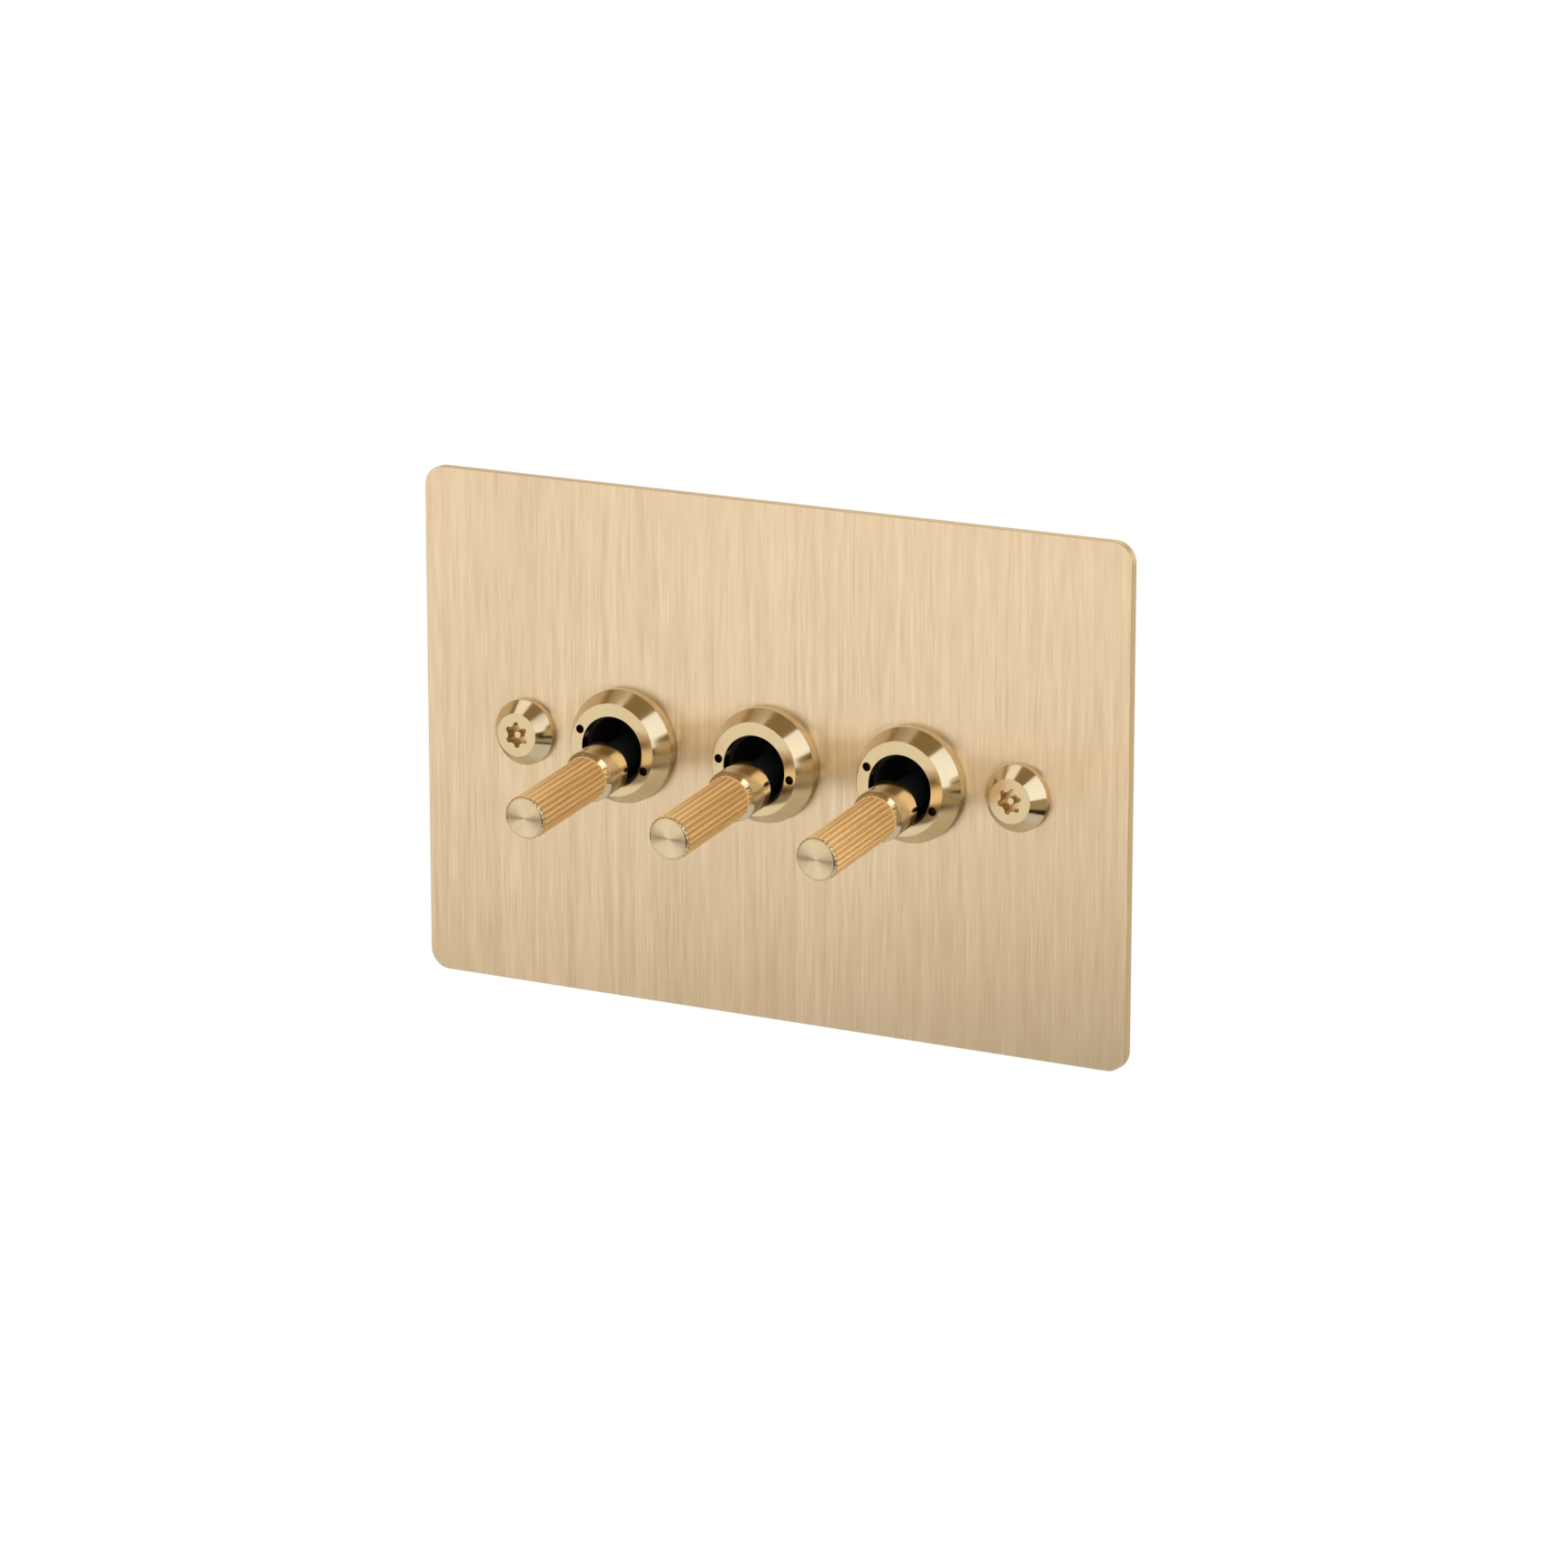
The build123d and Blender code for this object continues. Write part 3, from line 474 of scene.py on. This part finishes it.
coat_and_end(flute_tree, given, add(flute_tree, "GeometryNodeInstanceOnPoints", inputs=around), weld=0.0005)

# Knurled brass: the crests between the flutes are satin, and pale partly from the brass's own colour and
# partly from painted light. The floors of the screws' drives take it too.
pale_brass_painted_light = finish("pale_brass_painted_light", [(0.25, 0.25, 0.25)], ("#FBDDAA", "#FFE8BE"), (0.36, 0.42))
# Valley brass: the bottoms of the flutes are a darker, slightly rougher copy of the crest brass; the darker
# colour is painted shade, so that each flute shows as a dark line.
valley_painted_shade_brass = finish("knurled_valley_painted_shade", [(0.25, 0.25, 0.25)], ("#E0BB7F", "#EAC892"), (0.38, 0.46))
# Faced brass: rings left by the lathe tool, which spread reflections along the radius.
faced_brass = finish(
    "faced_brass", [(0.8, 0.8, 0.8)], ("#EED9B2", "#F6E4C2"), (0.38, 0.42), scratched=("radius", 1.0)
)

neck = [
    (SPIGOT, KNOB_BACK + SPIGOT_DEPTH),
    (SPIGOT, KNOB_BACK),
    (NECK, KNOB_BACK),
    (NECK, GRIP_START - (NECK - GRIP)),
    (GRIP, GRIP_START),
]
grip = [(GRIP, GRIP_START + STEP), (GRIP, KNOB_TIP - TIP_BEVEL - FLUTE_DEPTH)]
for number in range(TIP_STEPS + 1):
    angle = number / TIP_STEPS * pi / 2
    grip.append((GRIP - TIP_BEVEL * (1 - cos(angle)), KNOB_TIP - TIP_BEVEL * (1 - sin(angle))))
rings = [GRIP - TIP_BEVEL - STEP, 0.7 * GRIP, 0.45 * GRIP, 0.2 * GRIP, 0.05 * GRIP]
section = []
for number in range(FLUTE_STEPS + 1):
    share = number / FLUTE_STEPS - 0.5
    section.append((GRIP - FLUTE_DEPTH * (1 + cos(2 * pi * share)) / 2, 2 * pi / FLUTES * share))
outline = [[(radius, angle, along) for _, angle in section] for radius, along in eased(neck, EASE)]
outline += [[(min(most, radius), angle, along) for radius, angle in section] for most, along in grip]
outline += [[(radius, angle, KNOB_TIP) for _, angle in section] for radius in rings]
mesh = bmesh.new()
rows = []
for row in outline:
    rows.append([mesh.verts.new((r * cos(a) * MM, r * sin(a) * MM, z * MM)) for r, a, z in row])
for first, second in zip(rows, rows[1:]):
    for i in range(1, len(first)):
        mesh.faces.new((first[i - 1], first[i], second[i], second[i - 1]))
for row, along in ((rows[0], KNOB_BACK + SPIGOT_DEPTH), (rows[-1], KNOB_TIP)):
    pole = mesh.verts.new((0, 0, along * MM))
    for i in range(1, len(row)):
        mesh.faces.new((row[i - 1], row[i], pole))
strip = bpy.data.meshes.new("flute_strip")
mesh.to_mesh(strip)
mesh.free()
knob = grown(flute_tree, {"Count": FLUTES, "Finish": polished_brass}, strip)

for gang, x in GANGS.items():
    mesh = bmesh.new()
    mesh.from_mesh(knob)
    radius_map = mesh.loops.layers.uv.new("radius")
    for face in mesh.faces:
        lowest = min(vertex.co.z for vertex in face.verts) / MM + STEP / 2
        middle = face.calc_center_median().xy
        if GRIP_START < lowest < KNOB_TIP - TIP_BEVEL:
            # Crests take the pale brass with its painted light, flute bottoms its darker copy with painted
            # shade.
            face.material_index = 1 if middle.length > (GRIP - FLUTE_DEPTH / 2) * MM else 3
        elif lowest > KNOB_TIP:
            face.material_index = 2
        for corner in face.loops:
            place = corner.vert.co.xy
            swing = middle.angle_signed(place) if place.length > STEP * MM else 0.0
            corner[radius_map].uv = (place.length, swing * middle.length)
    mesh.transform(on_lever(x))
    coats = [polished_brass, pale_brass_painted_light, faced_brass, valley_painted_shade_brass]
    stands_for = [f"toggle_knob_{gang}"]
    piece(f"fluted_knob_{gang}", mesh, coats, f"toggle_{gang}", stands_for, crease=30.0)

# Rockers and terminals. Stamped and bent from brass strip, with contact buttons pressed in. Each terminal
# ends in a block with a wire hole and a slotted steel clamp screw, and the common one carries the rocker on
# two ears.
for gang in GANGS:
    body = f"rocker_{gang}"
    softened(f"rocker_contact_{gang}", f"rocker_arm_{gang}", drawn_brass, 0.12, body)
    for place in ("upper", "lower", "common"):
        node = f"{place}_terminal_{gang}"
        softened(node, f"{place}_block_{gang}", drawn_brass, 0.15, "switch_plate")
    node = f"terminal_screws_{gang}"
    softened(node, f"clamp_screws_{gang}", zinc_steel, 0.12, "switch_plate")

# Terminal bases. Moulded covers of grey thermoset that close the housings at the back, with a notch for each
# terminal and lips that keep the terminals in.

# Urea moulding: a hard, even grey with a slight gloss from the polished mould.
grain = [(0.5, 0.5, 0.5), (0.15, 0.15, 0.15)]
grey_urea = finish("grey_urea", grain, ("#8B8D8F", "#9A9C9D"), (0.42, 0.34), 0.0, relief=0.004)
for gang in GANGS:
    softened(f"terminal_base_{gang}", f"moulded_base_{gang}", grey_urea, 0.4, "switch_plate")

# Case screws. Small zinc plated steel screws with pan heads and cross recesses, two in opposite corners of
# each base, that cut their own threads in the housing's posts.
CASE_HEAD, CASE_HEAD_HEIGHT, CASE_HEAD_EDGE = 1.6, 1.2, 0.35
CASE_SHANK, CASE_PITCH, CASE_THREAD_DEPTH = 1.0, 0.7, 0.22
CROSS_REACH, CROSS_HALF, CROSS_DEPTH = 0.9, 0.2, 0.8
RINGS_PER_TURN = 8.0

# The thread is a cylinder whose skin sinks towards its axis along a helix, and tapers at its lower end.
lengths = {"Radius": "Float", "Length": "Float", "Pitch": "Float", "Depth": "Float"}
thread_tree, given = node_tree("rolled_thread", lengths)
turns = add(thread_tree, "ShaderNodeMath", {"operation": "DIVIDE"}, {0: given["Length"], 1: given["Pitch"]})
rings = add(thread_tree, "ShaderNodeMath", {"operation": "MULTIPLY"}, {0: turns, 1: RINGS_PER_TURN})
size = {"Vertices": 40, "Side Segments": rings, "Radius": given["Radius"], "Depth": given["Length"]}
shank = add(thread_tree, "GeometryNodeMeshCylinder", inputs=size)
place = add(thread_tree, "GeometryNodeInputPosition")
parts = add(thread_tree, "ShaderNodeSeparateXYZ", inputs={0: place}).outputs
angle = add(thread_tree, "ShaderNodeMath", {"operation": "ARCTAN2"}, {0: parts["Y"], 1: parts["X"]})
turn = add(thread_tree, "ShaderNodeMath", {"operation": "DIVIDE"}, {0: angle, 1: 2 * pi})
climb = add(thread_tree, "ShaderNodeMath", {"operation": "DIVIDE"}, {0: parts["Z"], 1: given["Pitch"]})
phase = add(thread_tree, "ShaderNodeMath", {"operation": "SUBTRACT"}, {0: climb, 1: turn})
groove = add(thread_tree, "ShaderNodeMath", {"operation": "PINGPONG"}, {0: phase, 1: 0.5})
groove = add(thread_tree, "ShaderNodeMath", {"operation": "MULTIPLY"}, {0: groove, 1: 2.0})
height = {0: given["Length"], 1: 0.5, 2: parts["Z"]}
above_tip = add(thread_tree, "ShaderNodeMath", {"operation": "MULTIPLY_ADD"}, height)
ends = {"Value": above_tip, "From Max": given["Radius"], "To Min": 0.9, "To Max": 0.0}
taper = add(thread_tree, "ShaderNodeMapRange", inputs=ends)
cut = add(thread_tree, "ShaderNodeMath", {"operation": "MAXIMUM"}, {0: groove, 1: taper})
sink = add(thread_tree, "ShaderNodeMath", {"operation": "MULTIPLY"}, {0: cut, 1: given["Depth"]})
flat = add(thread_tree, "ShaderNodeCombineXYZ", inputs={"X": parts["X"], "Y": parts["Y"]})
out = add(thread_tree, "ShaderNodeVectorMath", {"operation": "NORMALIZE"}, {0: flat})
inwards = add(thread_tree, "ShaderNodeVectorMath", {"operation": "SCALE"}, {0: out, "Scale": -1.0})
offset = add(thread_tree, "ShaderNodeVectorMath", {"operation": "SCALE"}, {0: inwards, "Scale": sink})
moved = {"Geometry": shank, "Offset": offset}
coat_and_end(thread_tree, given, add(thread_tree, "GeometryNodeSetPosition", inputs=moved))

# One screw is repeated along a line.
line_tree, given = node_tree("screws_in_line", {"Count": "Int", "Start": "Vector", "Step": "Vector"})
along = {"Count": given["Count"], "Start Location": given["Start"], "Offset": given["Step"]}
points = add(line_tree, "GeometryNodeMeshLine", inputs=along)
repeated = {"Points": points, "Instance": given["Geometry"]}
coat_and_end(line_tree, given, add(line_tree, "GeometryNodeInstanceOnPoints", inputs=repeated))


def cross_line(reach, half):
    """Outline of a cross recess."""
    points = []
    for quarter in range(4):
        turn = Matrix.Rotation(quarter * pi / 2, 2)
        points += [tuple(turn @ Vector(point)) for point in ((half, half), (half, reach), (-half, reach))]
    return points


node_low, node_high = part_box("case_screws_middle")
head_y = node_high.y / MM
tip_y = node_low.y / MM
seat_y = head_y - CASE_HEAD_HEIGHT
pan = [
    (CASE_SHANK, seat_y),
    (CASE_HEAD, seat_y),
    (CASE_HEAD, head_y - CASE_HEAD_EDGE),
    (CASE_HEAD - CASE_HEAD_EDGE, head_y),
    (CROSS_REACH + EASE, head_y),
]
mesh = bmesh.new()
rows = turned(mesh, eased(pan, EASE, hold=0.01), steps=48)
cover(mesh, rows[0])
mouth = loop(mesh, cross_line(CROSS_REACH, CROSS_HALF), head_y)
floor = loop(mesh, cross_line(CROSS_REACH / 2, CROSS_HALF / 2), head_y - CROSS_DEPTH)
cover(mesh, rows[-1], mouth)
wall(mesh, mouth, floor)
cover(mesh, floor)
sizes = {
    "Radius": CASE_SHANK * MM,
    "Length": (seat_y - tip_y) * MM,
    "Pitch": CASE_PITCH * MM,
    "Depth": CASE_THREAD_DEPTH * MM,
    "Finish": zinc_steel,
}
shank = grown(thread_tree, sizes)
shank.transform(Matrix.Translation((0, (seat_y + tip_y) / 2 * MM, 0)) @ Matrix.Rotation(-pi / 2, 4, "X"))
mesh.from_mesh(shank)
screw = bpy.data.meshes.new("case_screw")
mesh.to_mesh(screw)
mesh.free()
side = (node_high.x - node_low.x) / 2 - CASE_HEAD * MM
level = (node_high.z - node_low.z) / 2 - CASE_HEAD * MM
for gang, x in GANGS.items():
    start, step = (x * MM - side, 0, -level), (2 * side, 0, 2 * level)
    pair = grown(line_tree, {"Count": 2, "Start": start, "Step": step, "Finish": zinc_steel}, screw)
    mesh = bmesh.new()
    mesh.from_mesh(pair)
    piece(f"cross_screws_{gang}", mesh, [zinc_steel], "switch_plate", [f"case_screws_{gang}"])

# Fixing screws. Turned brass, polished, with a bevelled head, a six-lobed drive with a pin in its middle
# against ordinary drivers, and a rolled thread that goes into the wall box.
SCREW_RIM, SCREW_FACE, SCREW_HEAD_HEIGHT, SCREW_RIM_HEIGHT = 5.05, 3.35, 3.1, 1.0
SCREW_NECK, SCREW_NECK_END, SCREW_END = 1.6, 0.75, 28.5
SCREW_THREAD, SCREW_PITCH, SCREW_THREAD_DEPTH = 1.75, 0.6, 0.36
DRIVE_CORE, DRIVE_LOBE, DRIVE_CIRCLE, DRIVE_DEPTH = 1.5, 0.45, 1.55, 1.8
DRIVE_PIN, DRIVE_PIN_SETBACK = 0.6, 0.3
LOBE_SWEEP, CORE_SWEEP = 96, 5
DRIVE_TURNS = {"left": 3.0, "right": -14.0}


def drive_line(x, turn):
    """Outline of the six-lobed drive: lobes joined by the core circle."""
    points = []
    for number in range(6):
        middle = radians(90 + turn + 60 * number)
        cx, cz = DRIVE_CIRCLE * cos(middle), DRIVE_CIRCLE * sin(middle)
        for step in range(-6, 7):
            angle = middle + step / 6 * radians(LOBE_SWEEP)
            points.append((x + cx + DRIVE_LOBE * cos(angle), cz + DRIVE_LOBE * sin(angle)))
        for step in (-1, 0, 1):
            angle = middle + radians(30 + step * CORE_SWEEP)
            points.append((x + DRIVE_CORE * cos(angle), DRIVE_CORE * sin(angle)))
    return points


face_y = PLATE_FRONT - SCREW_HEAD_HEIGHT
floor_y = face_y + DRIVE_DEPTH
head = [
    (SCREW_NECK, PLATE_FRONT),
    (SCREW_RIM, PLATE_FRONT),
    (SCREW_RIM, PLATE_FRONT - SCREW_RIM_HEIGHT),
    (SCREW_FACE, face_y),
    (SCREW_FACE - 3 * EASE, face_y),
]
pin_y = face_y + DRIVE_PIN_SETBACK
pin = [(DRIVE_PIN, floor_y), (DRIVE_PIN, pin_y), (DRIVE_PIN / 3, pin_y)]
mesh = bmesh.new()
for side, x in SCREW_PLACES.items():
    rows = turned(mesh, eased(head, EASE / 2), x)
    line = drive_line(x, DRIVE_TURNS[side])
    mouth, floor = loop(mesh, line, face_y), loop(mesh, line, floor_y)
    wall(mesh, mouth, floor, coat=1)
    cover(mesh, rows[-1], mouth)
    pin_rows = turned(mesh, eased(pin, EASE), x, steps=48)
    # The drive's floor takes the pale brass, partly painted light.
    cover(mesh, floor, pin_rows[0], coat=2)
    cover(mesh, pin_rows[-1])
    neck = turned(mesh, [(SCREW_NECK, SCREW_NECK_END), (SCREW_NECK, PLATE_FRONT)], x)
    cover(mesh, neck[0])
bmesh.ops.remove_doubles(mesh, verts=mesh.verts, dist=1e-7)
sizes = {
    "Radius": SCREW_THREAD * MM,
    "Length": (SCREW_END - SCREW_NECK_END) * MM,
    "Pitch": SCREW_PITCH * MM,
    "Depth": SCREW_THREAD_DEPTH * MM,
    "Finish": polished_brass,
}
shank = grown(thread_tree, sizes)
middle_y = (SCREW_NECK_END + SCREW_END) / 2
shank.transform(Matrix.Translation((0, middle_y * MM, 0)) @ Matrix.Rotation(pi / 2, 4, "X"))
start, step = (SCREW_PLACES["left"] * MM, 0, 0), ((SCREW_PLACES["right"] - SCREW_PLACES["left"]) * MM, 0, 0)
mesh.from_mesh(grown(line_tree, {"Count": 2, "Start": start, "Step": step, "Finish": polished_brass}, shank))
coats = [polished_brass, cut_brass, pale_brass_painted_light]
piece("pinned_screws", mesh, coats, "switch_plate", ["fixing_screws"])

# Studio. The switch hangs over a pale floor, in front of a white backdrop and under soft lights. Cards and a
# warm curtain, which only reflections show, give the brass its light and dark bands.


def studio_piece(name, mesh, in_picture=False):
    """A piece of the studio that shows either in the picture or in reflections, with an empty material."""
    data = bpy.data.meshes.new(name)
    mesh.to_mesh(data)
    mesh.free()
    material = bpy.data.materials.new(name)
    material.use_nodes = True
    material.node_tree.nodes.clear()
    made = placed(name, data, [material])
    made.visible_camera, made.visible_glossy = in_picture, not in_picture
    made.visible_shadow = made.visible_diffuse = False
    return material.node_tree


# Pale floor: white board that takes the switch's faint shadow and fades into the white backdrop around it.
FLOOR_LEVEL, FLOOR_HALF = -480.0, 2000.0
SHADOW_NEAR, SHADOW_FAR, SHADOW_SHARE = 300.0, 900.0, 0.3
mesh = bmesh.new()
corners = [(x * FLOOR_HALF, y * FLOOR_HALF) for x, y in ((-1, -1), (1, -1), (1, 1), (-1, 1))]
mesh.faces.new([mesh.verts.new((x * MM, y * MM, FLOOR_LEVEL * MM)) for x, y in corners])
tree = studio_piece("pale_floor", mesh, in_picture=True)
place = add(tree, "ShaderNodeTexCoord").outputs["Object"]
flat = add(tree, "ShaderNodeVectorMath", {"operation": "MULTIPLY"}, {0: place, 1: (1, 1, 0)})
distance = add(tree, "ShaderNodeVectorMath", {"operation": "LENGTH"}, {0: flat})
reach = {
    "Value": distance,
    "From Min": SHADOW_NEAR * MM,
    "From Max": SHADOW_FAR * MM,
    "To Min": SHADOW_SHARE,
    "To Max": 0.0,
}
share = add(tree, "ShaderNodeMapRange", inputs=reach)
paint = add(tree, "ShaderNodeBsdfDiffuse", inputs={"Color": linear("#FFFFFF")})
glow = add(tree, "ShaderNodeEmission", inputs={"Color": linear("#FFFFFF"), "Strength": 1.0})
blend = add(tree, "ShaderNodeMixShader", inputs={0: share, 1: glow, 2: paint})
add(tree, "ShaderNodeOutputMaterial", inputs={"Surface": blend})

# White card: brightens what the collars and screw heads mirror from below.
CARD_LEVEL, CARD_LEFT, CARD_RIGHT, CARD_FRONT, CARD_BACK = -250.0, -600.0, 280.0, -350.0, 600.0
mesh = bmesh.new()
corners = [(CARD_LEFT, CARD_FRONT), (CARD_RIGHT, CARD_FRONT), (CARD_RIGHT, CARD_BACK), (CARD_LEFT, CARD_BACK)]
mesh.faces.new([mesh.verts.new((x * MM, y * MM, CARD_LEVEL * MM)) for x, y in corners])
tree = studio_piece("white_card", mesh)
glow = add(tree, "ShaderNodeEmission", inputs={"Color": linear("#FFFFFF"), "Strength": 0.85})
add(tree, "ShaderNodeOutputMaterial", inputs={"Surface": glow})

# Bent cards: a white strip below the front light, between two dark wings. The faced tips mirror them as light
# and dark sectors, and the right wing darkens the plate beside the collars.
BENT_RADIUS = 500.0


def bent_card(name, angles, tops, foot, colour):
    """An upright card that follows a circle round the switch between two angles, and glows in one colour.

    Its upper edge rises or falls evenly between two heights. Heights are shares of the circle's radius.
    """
    mesh = bmesh.new()
    steps = 12
    rows = []
    for step in range(steps + 1):
        angle = radians(angles[0] + (angles[1] - angles[0]) * step / steps)
        top = tops[0] + (tops[1] - tops[0]) * step / steps
        ends = [Vector((sin(angle), -cos(angle), z)) * BENT_RADIUS * MM for z in (top, foot)]
        rows.append([mesh.verts.new(end) for end in ends])
    for first, second in zip(rows, rows[1:]):
        mesh.faces.new((first[0], second[0], second[1], first[1]))
    tree = studio_piece(name, mesh)
    glow = add(tree, "ShaderNodeEmission", inputs={"Color": linear(colour), "Strength": 1.0})
    add(tree, "ShaderNodeOutputMaterial", inputs={"Surface": glow})


bent_card("left_wing", (-95, -46), (-0.4, -0.4), -1.3, "#2A1F10")
bent_card("tip_strip", (-46, -23), (-0.42, -0.42), -1.1, "#FFFFFF")
bent_card("right_wing", (-17, 24), (-0.46, 0.1), -0.75, "#4A3820")

# Dark curtain: warm cloth that darkens upwards, and black towards the floor. Its edge and the heights where
# its colour changes are shares of its radius.
CURTAIN_RADIUS, CURTAIN_EDGE = 1800.0, 0.25
CLOTH_LOW, CLOTH_HIGH, BLACK_LOW, BLACK_HIGH = -0.2, 0.7, -0.56, -0.48
mesh = bmesh.new()
angles = [step / 16 * acos(-CURTAIN_EDGE) for step in range(1, 17)]
dome = [(CURTAIN_RADIUS * sin(angle), -CURTAIN_RADIUS * cos(angle)) for angle in angles]
rows = turned(mesh, dome, steps=48)
cover(mesh, rows[0])
tree = studio_piece("dark_curtain", mesh)
place = add(tree, "ShaderNodeTexCoord").outputs["Object"]
height = add(tree, "ShaderNodeSeparateXYZ", inputs={0: place}).outputs["Z"]
radius = CURTAIN_RADIUS * MM
rise = {"Value": height, "From Min": CLOTH_LOW * radius, "From Max": CLOTH_HIGH * radius}
upper = add(tree, "ShaderNodeMapRange", inputs=rise)
shades = {"Factor": upper, "A": linear("#BEAD8C"), "B": linear("#A28A62")}
cloth = add(tree, "ShaderNodeMix", {"data_type": "RGBA"}, shades)
foot = {"Value": height, "From Min": BLACK_LOW * radius, "From Max": BLACK_HIGH * radius}
lower = add(tree, "ShaderNodeMapRange", inputs=foot)
shades = {"Factor": lower, "A": linear("#120D07"), "B": cloth}
shade = add(tree, "ShaderNodeMix", {"data_type": "RGBA"}, shades)
glow = add(tree, "ShaderNodeEmission", inputs={"Color": shade, "Strength": 1.0})
add(tree, "ShaderNodeOutputMaterial", inputs={"Surface": glow})

# Soft lights: two in front, one at the right, one above and two behind, all facing the switch.
CENTRE = Vector((0.0, -0.01, 0.0))


def soft_light(name, place, width, height, radiance, colour="#FFFFFF"):
    """A rectangular soft light of that radiance, as seen in a mirror, facing the switch."""
    lamp = bpy.data.lights.new(name, "AREA")
    lamp.shape, lamp.size, lamp.size_y = "RECTANGLE", width, height
    lamp.energy = radiance * width * height * pi
    lamp.color = linear(colour)[:3]
    made = bpy.data.objects.new(name, lamp)
    made.location = place
    made.rotation_euler = (CENTRE - Vector(place)).to_track_quat("-Z", "Y").to_euler()
    made.visible_camera = False
    bpy.context.scene.collection.objects.link(made)


soft_light("front_light", (-0.42, -0.81, 0.15), 0.98, 1.0, 0.8, "#F2F7FF")
soft_light("camera_side_light", (0.52, -0.8, 0.2), 0.36, 1.15, 1.9)
soft_light("right_light", (0.76, -0.14, 0.4), 0.5, 1.0, 1.6, "#DDEBFF")
soft_light("top_light", (-0.36, -0.06, 0.74), 0.45, 0.45, 1.25, "#EAF3FF")
soft_light("rear_light", (-0.2, 0.7, 0.9), 0.6, 0.6, 1.2)
soft_light("rear_right_light", (0.6, 0.7, 0.2), 0.5, 0.5, 0.8)

# White backdrop: white in the picture and in reflections, and a dim grey light on everything else.
world = bpy.data.worlds.new("white_backdrop")
bpy.context.scene.world = world
world.use_nodes = True
tree = world.node_tree
tree.nodes.clear()
rays = add(tree, "ShaderNodeLightPath").outputs
echoes = {0: rays["Is Glossy Ray"], 1: rays["Is Transmission Ray"]}
mirrored = add(tree, "ShaderNodeMath", {"operation": "MAXIMUM"}, echoes)
seen = add(tree, "ShaderNodeMath", {"operation": "MAXIMUM"}, {0: rays["Is Camera Ray"], 1: mirrored})
shades = {"Factor": seen, "A": linear("#9C9890"), "B": linear("#FFFFFF")}
shade = add(tree, "ShaderNodeMix", {"data_type": "RGBA"}, shades)
air = add(tree, "ShaderNodeBackground", inputs={"Color": shade, "Strength": 1.0})
add(tree, "ShaderNodeOutputWorld", inputs={"Surface": air})

# Camera: at the photograph's viewing angle, to the right of the switch and a little above it.
camera = bpy.data.cameras.new("camera")
camera.lens, camera.sensor_width = 147.24, 36.0
viewer = bpy.data.objects.new("camera", camera)
viewer.location = (0.4549, -0.8082, 0.2288)
aim = Vector((0.00188, 0.0, -0.00326))
viewer.rotation_euler = (aim - viewer.location).to_track_quat("-Z", "Y").to_euler()
bpy.context.scene.collection.objects.link(viewer)
bpy.context.scene.camera = viewer
bpy.context.scene.view_settings.view_transform = "Standard"
